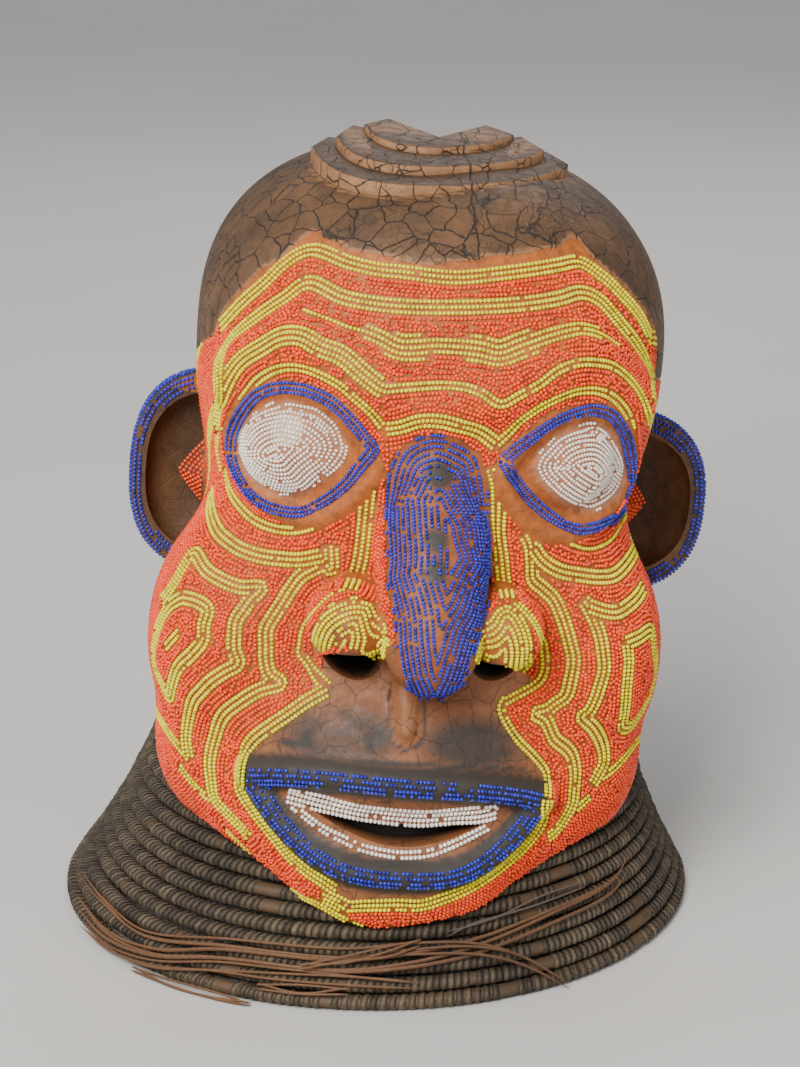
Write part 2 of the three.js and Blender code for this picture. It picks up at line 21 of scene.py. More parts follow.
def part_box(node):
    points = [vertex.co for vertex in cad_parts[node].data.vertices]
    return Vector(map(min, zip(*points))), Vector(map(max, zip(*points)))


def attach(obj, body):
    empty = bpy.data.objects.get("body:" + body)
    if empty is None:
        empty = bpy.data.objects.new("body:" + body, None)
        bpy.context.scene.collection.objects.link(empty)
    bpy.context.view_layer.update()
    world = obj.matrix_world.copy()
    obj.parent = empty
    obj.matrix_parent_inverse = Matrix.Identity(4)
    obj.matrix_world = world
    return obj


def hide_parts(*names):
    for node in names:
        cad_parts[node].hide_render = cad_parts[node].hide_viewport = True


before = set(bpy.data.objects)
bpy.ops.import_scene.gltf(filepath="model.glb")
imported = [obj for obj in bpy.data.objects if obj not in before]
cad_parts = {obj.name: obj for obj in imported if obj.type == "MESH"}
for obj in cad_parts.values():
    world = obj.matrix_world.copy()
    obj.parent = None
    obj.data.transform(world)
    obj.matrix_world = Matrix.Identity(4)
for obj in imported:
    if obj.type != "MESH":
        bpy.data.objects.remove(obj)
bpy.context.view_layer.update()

BODY = "root"
SEED = 7
METRES = 0.001
LOST = 0.015  # the share of beads that are missing where nothing is worn
LOG = logging.getLogger("mask")
PART = 4096  # how many places are compared with a line at once

Array = np.ndarray
Field = Callable[[Array], Array]
Pixels = Sequence[tuple[float, float]]


def add_object(name: str, data: bpy.types.ID) -> bpy.types.Object:
    """Makes an object and puts it in the scene.

    Args:
        name: The object's name.
        data: Its mesh, light or camera.

    Returns:
        The object.
    """
    made = bpy.data.objects.new(name, data)
    bpy.context.scene.collection.objects.link(made)
    return made


# Where things stand


@dataclass(frozen=True)
class Stance:
    """How the head leans on its collar, and where the collar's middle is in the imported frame."""

    neck: float = 84.0
    lean: float = math.radians(4.6)
    shift: float = 6.5
    middle: tuple[float, float] = (0.0, 0.0)

    @staticmethod
    def from_frame(collar_lean: float, widest_share: float) -> "Stance":
        """Finds the collar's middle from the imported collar.

        Args:
            collar_lean: How far the collar's top has sunk towards +X, in millimetres.
            widest_share: The share of the collar's height at which it is widest.

        Returns:
            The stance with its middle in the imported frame, in millimetres.
        """
        low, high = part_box("basket_collar")
        x, y = (low.x + high.x) / 2 / METRES, (low.y + high.y) / 2 / METRES
        return Stance(middle=(x - collar_lean * widest_share, y))

    def head_to_mask(self, points: Array) -> Array:
        """Takes places from the head's frame to the mask frame.

        Args:
            points: Places in the head's frame.

        Returns:
            The same places in the mask frame.
        """
        cos, sin = math.cos(self.lean), math.sin(self.lean)
        x, y, z = points[..., 0], points[..., 1], points[..., 2] - self.neck
        return np.stack([x * cos + z * sin + self.shift, y, z * cos - x * sin + self.neck], -1)

    def mask_to_head(self, points: Array) -> Array:
        """Takes places from the mask frame to the head's frame.

        Args:
            points: Places in the mask frame.

        Returns:
            The same places in the head's frame.
        """
        cos, sin = math.cos(self.lean), math.sin(self.lean)
        x, y, z = points[..., 0] - self.shift, points[..., 1], points[..., 2] - self.neck
        return np.stack([x * cos - z * sin, y, x * sin + z * cos + self.neck], -1)

    def turn_to_mask(self, vectors: Array) -> Array:
        """Turns directions from the head's frame to the mask frame."""
        return self.head_to_mask(vectors) - self.head_to_mask(np.zeros(3))

    def mask_to_metres(self, points: Array) -> Array:
        """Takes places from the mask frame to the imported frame, in metres."""
        return (points + np.array([*self.middle, 0.0])) * METRES

    def head_to_metres(self, points: Array) -> Array:
        """Takes places from the head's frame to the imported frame, in metres."""
        return self.mask_to_metres(self.head_to_mask(points))


@dataclass(frozen=True)
class Photograph:
    """The camera that took the photograph, in the mask frame. Pixels are those of its 800 by 1067 frame."""

    stance: Stance
    width: float = 800.0
    height: float = 1067.0
    focal: float = 3000.0
    distance: float = 1500.0
    elevation: float = math.radians(17.5)
    azimuth: float = math.radians(-3.5)
    target: tuple[float, float, float] = (13.0, 0.0, 185.0)
    sensor: float = 36.0
    clip: tuple[float, float] = (0.1, 20.0)

    def axes(self) -> tuple[Array, Array, Array]:
        """The camera's right, up and forward directions.

        Returns:
            Three unit directions in the mask frame.
        """
        level = math.cos(self.elevation)
        forward = -np.array(
            [
                math.sin(self.azimuth) * level,
                -math.cos(self.azimuth) * level,
                math.sin(self.elevation),
            ]
        )
        right = np.array([math.cos(self.azimuth), math.sin(self.azimuth), 0.0])
        return right, np.cross(right, forward), forward

    def place(self) -> Array:
        """Where the camera stands."""
        return np.array(self.target) - self.axes()[2] * self.distance

    def pixels(self, head_points: Array) -> Array:
        """The pixels that places in the head's frame fall on.

        Args:
            head_points: Places in the head's frame.

        Returns:
            Pixels across and down.
        """
        right, up, forward = self.axes()
        away = self.stance.head_to_mask(head_points) - self.place()
        depth = away @ forward
        across = self.width / 2 + self.focal * (away @ right) / depth
        down = self.height / 2 - self.focal * (away @ up) / depth
        return np.stack([across, down], -1)

    def sight_lines(self, pixels: Array) -> tuple[Array, Array]:
        """The lines of sight through pixels, in the head's frame.

        Args:
            pixels: Pixels, one a row.

        Returns:
            The camera's place, and a unit direction for each pixel.
        """
        right, up, forward = self.axes()
        across = (pixels[:, :1] - self.width / 2) / self.focal
        down = (pixels[:, 1:] - self.height / 2) / self.focal
        ends = self.place() + forward + across * right - down * up
        start = self.stance.mask_to_head(self.place())
        directions = self.stance.mask_to_head(ends) - start
        return start, directions / np.linalg.norm(directions, axis=1, keepdims=True)

    def make_camera(self) -> bpy.types.Object:
        """Makes the camera and points it.

        Returns:
            The camera.
        """
        data = bpy.data.cameras.new("camera")
        data.sensor_width = self.sensor
        data.lens = self.focal / self.height * self.sensor
        data.clip_start, data.clip_end = self.clip
        camera = add_object("camera", data)
        camera.location = Vector(self.stance.mask_to_metres(self.place()))
        camera.rotation_mode = "QUATERNION"
        camera.rotation_quaternion = Vector(self.axes()[2]).to_track_quat("-Z", "Y")
        bpy.context.scene.camera = camera
        return camera


# Distances to simple forms, for many places at once


@dataclass(frozen=True)
class Swelling:
    """A rounded mass of the head."""

    at: tuple[float, float, float]
    radii: tuple[float, float, float]
    melt: float = 0.0
    square: float = 2.0
    turn: float = 0.0
    pair: bool = False

    def distance(self, points: Array, side: float = 1.0) -> Array:
        """How far places are outside the mass, on one side of the face.

        Args:
            points: Places, one a row.
            side: One for the side it is given on, minus one for the other.

        Returns:
            A distance for each place, negative inside.
        """
        cos, sin = math.cos(math.radians(self.turn)), math.sin(math.radians(self.turn))
        dx = points[:, 0] * side - self.at[0]
        dy = points[:, 1] - self.at[1]
        u = np.abs((dx * cos + dy * sin) / self.radii[0])
        v = np.abs((dy * cos - dx * sin) / self.radii[1])
        w = np.abs((points[:, 2] - self.at[2]) / self.radii[2])
        power = self.square
        return ((u**power + v**power + w**power) ** (1 / power) - 1) * min(self.radii)

    def sides(self) -> list[Field]:
        """A field for the mass, or two where it stands on both sides of the face.

        Returns:
            The fields.
        """
        fields = [self.distance]
        if self.pair:
            fields.append(lambda points: self.distance(points, -1.0))
        return fields


def rod_distance(points: Array, ends: Array, radii: Sequence[float]) -> Array:
    """How far places are outside a chain of tapered rods.

    Args:
        points: Places, one a row.
        ends: The rods' ends in order, one a row.
        radii: The radius at each end.

    Returns:
        The least distance for each place.
    """
    starts, steps = ends[:-1], np.diff(ends, axis=0)
    squares, thick = (steps**2).sum(1), np.asarray(radii, float)
    least = np.empty(len(points))
    for first in range(0, len(points), PART):
        some = points[first : first + PART]
        reach = some @ steps.T - (starts * steps).sum(1)
        along = np.clip(reach / squares, 0, 1)
        apart = (some**2).sum(1)[:, None] - 2 * some @ starts.T + (starts**2).sum(1)
        apart += along * (along * squares - 2 * reach)
        gap = np.sqrt(np.maximum(apart, 0)) - thick[:-1] - np.diff(thick) * along
        least[first : first + PART] = gap.min(1)
    return least


def join(a: Array, b: Array, melt: float) -> Array:
    """Joins two forms with a soft seam.

    Args:
        a: Distances to the first form.
        b: Distances to the second.
        melt: How wide the seam is.

    Returns:
        Distances to both as one form.
    """
    if melt <= 0:
        return np.minimum(a, b)
    share = np.maximum(0, melt - np.abs(a - b)) / melt
    return np.minimum(a, b) - share * share * melt / 4


def cut(a: Array, b: Array, melt: float) -> Array:
    """Cuts the second form from the first with a soft edge."""
    return -join(-a, b, melt)


def inside_polygon(points: Array, corners: Pixels) -> Array:
    """Tells which flat places are inside a polygon.

    Args:
        points: Places as (x, y), one a row.
        corners: The polygon's corners in order.

    Returns:
        True for each place inside.
    """
    x, y = points[:, 0], points[:, 1]
    within = np.zeros(len(points), bool)
    for (x0, y0), (x1, y1) in zip(corners, [*corners[1:], corners[0]]):
        if y0 == y1:
            continue
        spans = (y0 > y) != (y1 > y)
        within ^= spans & (x < (x1 - x0) * (y - y0) / (y1 - y0) + x0)
    return within


# The carved head


@dataclass(frozen=True)
class Eye:
    """An almond eyelid outline: its middle, and the side its corner points away from."""

    x: float
    z: float
    side: float
    half_width: float = 32.0
    half_height: float = 29.5
    corner: float = 34.0
    pinch: float = 0.4
    corner_power: float = 3.0

    def outline(self, count: int) -> Array:
        """Places (x, z) round the outline.

        Args:
            count: How many places there are.

        Returns:
            The places, one a row.
        """
        turn = np.arange(count) / count * 2 * math.pi
        inward = np.maximum(0, -np.cos(turn)) ** self.corner_power
        width = self.half_width + inward * (self.corner - self.half_width)
        height = self.half_height * (1 - self.pinch * inward)
        return np.stack(
            [self.x + self.side * width * np.cos(turn), self.z + height * np.sin(turn)], 1
        )


@dataclass(frozen=True)
class Lip:
    """A lip: an arc between the corners of the mouth."""

    bow: float
    radius: float
    steps: int
    sink: float = 1.0
    power: float = 3.0
    left: tuple[float, float] = (-73.0, 103.0)
    right: tuple[float, float] = (64.0, 98.5)

    def line(self, steps: int) -> Array:
        """Places (x, z) along the lip.

        Args:
            steps: How many parts the line has.

        Returns:
            The places, one a row.
        """
        along = np.arange(steps + 1) / steps
        x = self.left[0] + (self.right[0] - self.left[0]) * along
        z = self.left[1] + (self.right[1] - self.left[1]) * along
        return np.stack([x, z + self.bow * (1 - np.abs(2 * along - 1) ** self.power)], 1)


@dataclass(frozen=True)
class Ear:
    """A thick bowl that opens forwards, with a pointed lobe."""

    side: float
    root: float
    reach: float
    z: float
    half_height: float
    y: float = 12.0
    depth: float = 24.0
    wall: float = 6.5
    broad_wall: float = 9.5
    square: float = 2.5
    dish: float = 15.0
    rim_share: float = 0.25
    lobe: tuple[float, float, float] = (19.0, 15.0, 22.0)
    point: float = 1.15

    def middle(self) -> Array:
        """The ear's centre."""
        return np.array([self.side * self.root, self.y, self.z])

    def rim_y(self) -> float:
        """The plane of the rim."""
        return self.y - self.dish * self.rim_share

    def outer(self) -> Swelling:
        """The ear's outer form."""
        radii = (self.reach, self.depth, self.half_height)
        return Swelling(tuple(self.middle()), radii, square=self.square)

    def inner(self) -> Swelling:
        """The ear's dish."""
        radii = (self.reach - self.wall, self.dish, self.half_height - self.broad_wall)
        return Swelling(tuple(self.middle()), radii, square=self.square)


@dataclass(frozen=True)
class Tier:
    """One terrace of the crest."""

    corner: float
    corner_y: float
    front: float
    apex: float
    end_x: float
    end_y: float
    notch: float
    top: float

    def outline(self, steps: int = 40, power: float = 1.3) -> Array:
        """The terrace's outline (x, y), bluntly pointed in front and notched behind.

        Args:
            steps: How many parts the front has.
            power: How blunt its point is.

        Returns:
            The places, one a row.
        """
        turn = math.pi * np.arange(steps + 1) / steps
        forward = np.maximum(np.sin(turn), 0)
        depth = (self.corner_y - self.front) * forward**power
        arc = np.stack([self.apex * forward**2 - self.corner * np.cos(turn), self.corner_y - depth], 1)
        ends = [[self.end_x, self.end_y], [0, self.notch], [-self.end_x, self.end_y]]
        return np.concatenate([arc, ends])


@dataclass
class HeadForm:
    """The head's outer surface as a field of distances, in the head's frame."""

    axis_y: float = 8.0
    foot: float = 20.0
    dome_start: float = 292.0
    core: tuple[tuple[float, float, float], ...] = ((0, 8, -40), (0, 8, 190))
    core_radius: float = 80.0
    masses: tuple[Swelling, ...] = (
        Swelling((4.5, 2, 287), (113.5, 118, 93.5), 0, 2.4),
        Swelling((2, -22, 180), (99, 102, 150), 24, 2.6),
        Swelling((3, 24, 170), (100, 106, 120), 20, 2.4),
        Swelling((2.5, 2, 84), (120, 120, 52), 16, 2.3),
        Swelling((77, -60, 150), (47, 56, 66), 16, pair=True),
        Swelling((-5, -100, 104), (74, 50, 56), 16),
        Swelling((-4, -110, 54), (38, 39, 35), 16),
    )
    jaw: tuple[tuple[float, float, float], ...] = ((75, -68, 96), (24, -112, 62))
    jaw_radii: tuple[float, float] = (38, 32)
    jaw_melt: float = 16.0
    eyehole: Swelling = Swelling((66, -113, 253.5), (32, 12, 30), 6, turn=27, pair=True)
    eyeball: Swelling = Swelling((60, -92, 254), (29, 22, 25.5), 2, turn=27, pair=True)
    nose: tuple[tuple[float, float, float], ...] = ((1, -108, 262), (3, -122, 220), (4, -150, 179))
    nose_radii: tuple[float, ...] = (15, 27.5, 23)
    nose_melt: float = 5.0
    wings: tuple[Swelling, ...] = (
        Swelling((-33, -134, 184), (20, 22, 19), 3),
        Swelling((39, -133, 183), (18, 22, 19), 3),
    )
    mouth_hollow: Swelling = Swelling((-5, -162, 88), (60, 20, 18), 4)
    brow: tuple[tuple[float, float], ...] = ((-92, 280), (-62, 306), (-28, 290), (0, 281))
    brow_shift: float = 2.0
    brow_size: tuple[float, float, float] = (11.0, 5.0, 14.0)
    philtrum: tuple[tuple[float, float], ...] = ((-4, 149), (-3, 134))
    philtrum_radii: tuple[float, float] = (8.5, 5.5)
    philtrum_sink: float = 1.2
    philtrum_melt: float = 2.0
    lid_radius: float = 5.0
    lid_sink: float = 1.5
    lid_melt: float = 4.0
    lid_steps: int = 40
    lip_melt: float = 4.0
    eyes: tuple[Eye, ...] = (Eye(-59.5, 253, -1), Eye(66, 251.5, 1))
    lips: tuple[Lip, ...] = (Lip(10.5, 8, 14), Lip(-36, 7, 20))
    ears: tuple[Ear, ...] = (Ear(-1, 95, 42, 209, 51), Ear(1, 103, 48, 206, 47))
    face_front: float = -50.0
    midface: float = 200.0
    outside: float = 240.0
    ridges: dict[str, tuple[Array, list[float]]] = field(default_factory=dict)

    def __post_init__(self) -> None:
        """Lays the lids, lips, brow and philtrum on the plain face."""
        for index, eye in enumerate(self.eyes):
            line = eye.outline(self.lid_steps)
            closed = np.concatenate([line, line[:1]])
            self.ridges[f"lid{index}"] = self.ridge(closed, [self.lid_radius], self.lid_sink)
        for index, lip in enumerate(self.lips):
            self.ridges[f"lip{index}"] = self.ridge(lip.line(lip.steps), [lip.radius], lip.sink)
        half = np.array(self.brow)
        other = (half[:-1] * [-1, 1])[::-1]
        line = np.concatenate([half, other]) + [self.brow_shift, 0]
        self.ridges["brow"] = self.ridge(line, [self.brow_size[0]], self.brow_size[1])
        radii = list(self.philtrum_radii)
        self.ridges["philtrum"] = self.ridge(np.array(self.philtrum), radii, self.philtrum_sink)

    def ridge(self, line: Array, radii: list[float], sink: float) -> tuple[Array, list[float]]:
        """Lays a chain of rods on the plain face.

        Args:
            line: Places (x, z) along it.
            radii: One radius for all, or one for each place.
            sink: How deep its middle lies under the surface.

        Returns:
            The rods' ends and radii.
        """
        ends = self.on_face(line)
        ends[:, 1] += sink
        return ends, radii if len(radii) == len(line) else radii * len(line)

    def on_face(self, line: Array) -> Array:
        """The places on the plain face behind places (x, z).

        Args:
            line: Places (x, z), one a row.

        Returns:
            The places on the face.
        """
        starts = np.stack([line[:, 0], np.zeros(len(line)), line[:, 1]], 1)
        forward = np.tile([0.0, -1.0, 0.0], (len(line), 1))
        reach = self.reach(self.plain, starts, forward)
        return starts + forward * reach[:, None]

    def plain(self, points: Array) -> Array:
        """The head without its lids, lips, brow and philtrum.

        Args:
            points: Places, one a row.

        Returns:
            A distance for each place, negative inside.
        """
        core = np.array(self.core, float)
        found = rod_distance(points, core, [self.core_radius] * 2)
        for mass in self.masses:
            for distance in mass.sides():
                found = join(found, distance(points), mass.melt)
        for side in (1, -1):
            ends = np.array(self.jaw, float) * [side, 1, 1]
            found = join(found, rod_distance(points, ends, self.jaw_radii), self.jaw_melt)
        for distance in self.eyehole.sides():
            found = cut(found, distance(points), self.eyehole.melt)
        for distance in self.eyeball.sides():
            found = join(found, distance(points), self.eyeball.melt)
        nose = rod_distance(points, np.array(self.nose, float), self.nose_radii)
        found = join(found, nose, self.nose_melt)
        for wing in self.wings:
            found = join(found, wing.distance(points), wing.melt)
        return cut(found, self.mouth_hollow.distance(points), self.mouth_hollow.melt)

    def surface(self, points: Array) -> Array:
        """The whole outer form of the head, ears and crest aside.

        Args:
            points: Places, one a row.

        Returns:
            A distance for each place, negative inside.
        """
        found = self.plain(points)
        front = points[:, 1] <= self.face_front
        high = np.flatnonzero(front & (points[:, 2] > self.midface))
        low = np.flatnonzero(front & (points[:, 2] <= self.midface))
        if len(high):
            part = points[high]
            value = join(found[high], rod_distance(part, *self.ridges["brow"]), self.brow_size[2])
            lids = np.minimum(*(rod_distance(part, *self.ridges[f"lid{i}"]) for i in (0, 1)))
            found[high] = join(value, lids, self.lid_melt)
        if len(low):
            part = points[low]
            tab = rod_distance(part, *self.ridges["philtrum"])
            value = join(found[low], tab, self.philtrum_melt)
            lips = np.minimum(*(rod_distance(part, *self.ridges[f"lip{i}"]) for i in (0, 1)))
            found[low] = join(value, lips, self.lip_melt)
        return found

    def reach(
        self,
        distance: Field,
        starts: Array,
        directions: Array,
        share: float = 0.55,
        close: float = 0.01,
        steps: int = 160,
    ) -> Array:
        """Walks inwards along rays from outside the head to its surface.

        Args:
            distance: The field that is zero on the surface.
            starts: Where each ray starts.
            directions: Unit directions that point outwards.
            share: The share of the distance taken at each step.
            close: Near enough.
            steps: The most steps taken.

        Returns:
            How far out along each ray its surface is.
        """
        reach = np.full(len(starts), self.outside)
        active = np.arange(len(starts))
        for _ in range(steps):
            if not len(active):
                break
            points = starts[active] + directions[active] * reach[active, None]
            gap = distance(points)
            away = gap >= close
            active = active[away]
            reach[active] -= np.maximum(share * gap[away], close)
        return reach

    def normals(self, points: Array, step: float = 0.4) -> Array:
        """The outward directions of the surface near places.

        Args:
            points: Places, one a row.
            step: The distance over which the slope is taken.

        Returns:
            A unit direction for each place.
        """
        slopes = []
        for axis in range(3):
            offset = np.zeros(3)
            offset[axis] = step
            slopes.append(self.surface(points + offset) - self.surface(points - offset))
        found = np.stack(slopes, 1)
        return found / np.maximum(np.linalg.norm(found, axis=1, keepdims=True), 1e-9)

    def settle(self, points: Array, rounds: int = 6, step: float = 0.4, share: float = 0.7) -> Array:
        """Moves places onto the surface.

        Args:
            points: Places near it.
            rounds: How often they are moved.
            step: The distance over which the slope is taken.
            share: The share of the way that is gone at once.

        Returns:
            The places moved.
        """
        for _ in range(rounds):
            here = self.surface(points)
            slope = np.stack([self.surface(points + step * axis) - here for axis in np.eye(3)], 1)
            slope /= np.maximum(np.linalg.norm(slope, axis=1, keepdims=True), 1e-9)
            points = points - slope * (share * here)[:, None]
        return points


# Meshes


def mesh_object(
    name: str, points: Array, faces: Iterable[Sequence[int]], edges: Sequence[tuple[int, int]] = ()
) -> bpy.types.Object:
    """Makes an object from points and faces, and puts it in the scene.

    Args:
        name: The object's name.
        points: Places, one a row.
        faces: Rows of indices into the points.
        edges: Pairs of indices, for edges that no face has.

    Returns:
        The new object.
    """
    mesh = bpy.data.meshes.new(name)
    rows = faces.tolist() if isinstance(faces, np.ndarray) else [list(face) for face in faces]
    mesh.from_pydata(np.asarray(points, float).tolist(), edges, rows)
    mesh.update()
    return add_object(name, mesh)


def vertices(piece: bpy.types.Object) -> Array:
    """The places of an object's vertices, one a row.

    Args:
        piece: The object.

    Returns:
        The places.
    """
    flat = np.empty(len(piece.data.vertices) * 3)
    piece.data.vertices.foreach_get("co", flat)
    return flat.reshape(-1, 3)


def set_vertices(piece: bpy.types.Object, points: Array) -> None:
    """Moves an object's vertices."""
    piece.data.vertices.foreach_set("co", points.ravel())
    piece.data.update()


def set_attribute(piece: bpy.types.Object, name: str, values: Array) -> None:
    """Stores a number, or a vector, at each vertex.

    Args:
        piece: The object.
        name: The attribute's name.
        values: A number or a vector for each vertex.
    """
    kind, key = ("FLOAT", "value") if values.ndim == 1 else ("FLOAT_VECTOR", "vector")
    made = piece.data.attributes.new(name, kind, "POINT")
    made.data.foreach_set(key, np.ascontiguousarray(values, dtype=np.float32).ravel())


def discard(piece: bpy.types.Object) -> None:
    """Removes an object and its mesh."""
    mesh = piece.data
    bpy.data.objects.remove(piece)
    bpy.data.meshes.remove(mesh)


def evaluated_mesh(piece: bpy.types.Object) -> bpy.types.Mesh:
    """The plain mesh that an object's modifiers make."""
    graph = bpy.context.evaluated_depsgraph_get()
    return bpy.data.meshes.new_from_object(piece.evaluated_get(graph), depsgraph=graph)


def bake_modifiers(piece: bpy.types.Object) -> None:
    """Turns an object's modifiers into its mesh, and removes them.

    Args:
        piece: The object.
    """
    mesh = evaluated_mesh(piece)
    piece.modifiers.clear()
    old = piece.data
    piece.data = mesh
    bpy.data.meshes.remove(old)


def combine(block: bpy.types.Object, tool: bpy.types.Object, how: str) -> None:
    """Joins one closed solid to another, or cuts it away.

    Args:
        block: The solid that is changed.
        tool: The solid that is used up.
        how: UNION or DIFFERENCE.
    """
    modifier = block.modifiers.new("combine", "BOOLEAN")
    modifier.operation = how
    modifier.solver = "MANIFOLD"
    modifier.object = tool
    bake_modifiers(block)
    discard(tool)


def shade_smooth(piece: bpy.types.Object, angle: float = 180.0) -> None:
    """Shades an object smoothly, with sharp edges over an angle in degrees."""
    piece.data.polygons.foreach_set("use_smooth", [True] * len(piece.data.polygons))
    if angle < 180:
        piece.data.set_sharp_from_angle(angle=math.radians(angle))


def grid_faces(rows: int, columns: int, closed: bool) -> Array:
    """The quads of a grid of points, with the columns running round or across.

    Args:
        rows: How many rows of points there are.
        columns: How many points each row has.
        closed: Whether the last column meets the first.

    Returns:
        Rows of four indices, facing outwards where columns run anticlockwise seen from the last row.
    """
    across = columns if closed else columns - 1
    row, column = np.meshgrid(np.arange(rows - 1), np.arange(across), indexing="ij")
    beside = (column + 1) % columns
    corners = [(row, column), (row, beside), (row + 1, beside), (row + 1, column)]
    return np.stack([(r * columns + c).ravel() for r, c in corners], 1)


def capped(name: str, grid: Array, low: Sequence[float], high: Sequence[float]) -> bpy.types.Object:
    """Closes rings of points into a solid.

    Args:
        name: The object's name.
        grid: The points, with a row for each ring.
        low: The point that closes the first ring.
        high: The point that closes the last one.

    Returns:
        The solid.
    """
    rows, columns = grid.shape[:2]
    count, last = rows * columns, (rows - 1) * columns
    here = np.arange(columns)
    beside, ends = (here + 1) % columns, np.full(columns, count)
    caps = np.stack([beside, here, ends, last + here, last + beside, ends + 1], 1).reshape(-1, 3)
    faces = grid_faces(rows, columns, True).tolist() + caps.tolist()
    return mesh_object(name, np.concatenate([grid.reshape(-1, 3), [low, high]]), faces)


def lathe(name: str, profile: Array, sides: int) -> bpy.types.Object:
    """Turns a profile round the Z axis into a closed solid.

    Args:
        name: The object's name.
        profile: Places (radius, z) from the axis at the bottom to the axis at the top.
        sides: How many sides it has.

    Returns:
        The solid.
    """
    turn = np.arange(sides) / sides * 2 * math.pi
    flat = np.stack([np.cos(turn), np.sin(turn)], 1)
    rings = [np.column_stack([r * flat, np.full(sides, z)]) for r, z in profile[1:-1]]
    return capped(name, np.stack(rings), [0, 0, profile[0][1]], [0, 0, profile[-1][1]])


def loft(name: str, levels: Sequence[Array]) -> bpy.types.Object:
    """Joins flat rings of equal counts into a closed solid whose faces point outwards.

    Args:
        name: The object's name.
        levels: The rings, from one end to the other.

    Returns:
        The solid.
    """
    count = len(levels[0])
    faces = grid_faces(len(levels), count, True).tolist()
    faces.append(list(range(count))[::-1])
    faces.append([(len(levels) - 1) * count + i for i in range(count)])
    across, rise = np.zeros(3), levels[-1].mean(0) - levels[0].mean(0)
    for a, b in zip(levels[0], np.roll(levels[0], -1, 0)):
        across += np.cross(a, b)
    if across @ rise < 0:
        faces = [face[::-1] for face in faces]
    return mesh_object(name, np.concatenate(levels), faces)


def bowl(name: str, form: Swelling, around: int = 48, up: int = 24) -> bpy.types.Object:
    """A closed rounded form, squarer than an ellipsoid where its power is over 2.

    Args:
        name: The object's name.
        form: Its place, its radii and how square it is.
        around: How many sides it has.
        up: How many parts it has from bottom to top.

    Returns:
        The solid.
    """
    lift = (np.arange(1, up) / up - 0.5) * math.pi
    turn = np.arange(around) / around * 2 * math.pi
    grid = np.stack(
        [
            np.outer(np.cos(lift), np.cos(turn)),
            np.outer(np.cos(lift), np.sin(turn)),
            np.outer(np.sin(lift), np.ones(around)),
        ],
        -1,
    )
    grid /= (np.abs(grid) ** form.square).sum(-1, keepdims=True) ** (1 / form.square)
    low, high = (np.array([0, 0, end]) * form.radii + form.at for end in (-1, 1))
    return capped(name, grid * form.radii + form.at, low, high)


# Lines over the head's surface


def spline(points: Array, step: float) -> Array:
    """A smooth line through places, in steps of about one length.

    Args:
        points: Places in any number of dimensions, one a row.
        step: The length of a step.

    Returns:
        Places along the line, with both ends.
    """
    points = np.asarray(points, float)
    before = 2 * points[0] - points[1]
    after = 2 * points[-1] - points[-2]
    ends = np.concatenate([[before], points, [after]])
    pieces = []
    for p0, p1, p2, p3 in zip(ends[:-3], ends[1:-2], ends[2:-1], ends[3:]):
        gaps = [max(np.linalg.norm(b - a), 1e-6) ** 0.5 for a, b in ((p0, p1), (p1, p2), (p2, p3))]
        t0, t1, t2, t3 = np.cumsum([0, *gaps])
        count = max(1, int(np.linalg.norm(p2 - p1) / step + 0.5))
        t = np.linspace(t1, t2, count + 1)[:-1, None]
        a1 = ((t1 - t) * p0 + (t - t0) * p1) / (t1 - t0)
        a2 = ((t2 - t) * p1 + (t - t1) * p2) / (t2 - t1)
        a3 = ((t3 - t) * p2 + (t - t2) * p3) / (t3 - t2)
        b1 = ((t2 - t) * a1 + (t - t0) * a2) / (t2 - t0)
        b2 = ((t3 - t) * a2 + (t - t1) * a3) / (t3 - t1)
        pieces.append(((t2 - t) * b1 + (t - t1) * b2) / (t2 - t1))
    return np.concatenate([*pieces, points[-1:]])


def lengths_along(line: Array) -> Array:
    """How far along a line each of its places is."""
    return np.concatenate([[0], np.cumsum(np.linalg.norm(np.diff(line, axis=0), axis=1))])


def resample(line: Array, step: float, phase: float = 0.0) -> Array:
    """Places along a line at an even step, starting a phase along it.

    Args:
        line: Places, one a row.
        step: How far apart the new places are.
        phase: How far along the first one is.

    Returns:
        The new places.
    """
    along = lengths_along(line)
    wanted = np.arange(phase, along[-1], step)
    return np.stack([np.interp(wanted, along, line[:, axis]) for axis in range(line.shape[1])], 1)


def nearest(points: Array, line: Array, less: Array | float = 0.0) -> tuple[Array, Array]:
    """The distance from places to the nearest of a line's close-set places.

    Args:
        points: Places, one a row.
        line: The line's places, one a row.
        less: What is taken off the distance at each of the line's places.

    Returns:
        The least value for each place, and which of the line's places gives it.
    """
    points, line = points.astype(np.float32), line.astype(np.float32)
    less = np.asarray(less, np.float32)
    found, which = np.empty(len(points)), np.empty(len(points), int)
    squares = (line**2).sum(1)
    for first in range(0, len(points), PART):
        some = points[first : first + PART]
        gaps = (some**2).sum(1)[:, None] + squares - 2 * some @ line.T
        gaps = np.sqrt(np.maximum(gaps, 0)) - less
        least = gaps.argmin(1)
        which[first : first + PART] = least
        found[first : first + PART] = gaps[np.arange(len(some)), least]
    return found, which


def unit(vectors: Array) -> Array:
    """Directions of length one."""
    return vectors / np.maximum(np.linalg.norm(vectors, axis=-1, keepdims=True), 1e-9)


# Node trees


@dataclass
class Places:
    """Where copies go: places, outward directions, directions along a row, and sizes."""

    points: Array
    outwards: Array
    along: Array
    sizes: Array

    def part(self, which: Array) -> "Places":
        """Some of the places."""
        return Places(*(values[which] for values in vars(self).values()))

    @staticmethod
    def joined(parts: Sequence["Places"]) -> "Places":
        """Several sets of places as one."""
        return Places(*map(np.concatenate, zip(*(vars(part).values() for part in parts))))


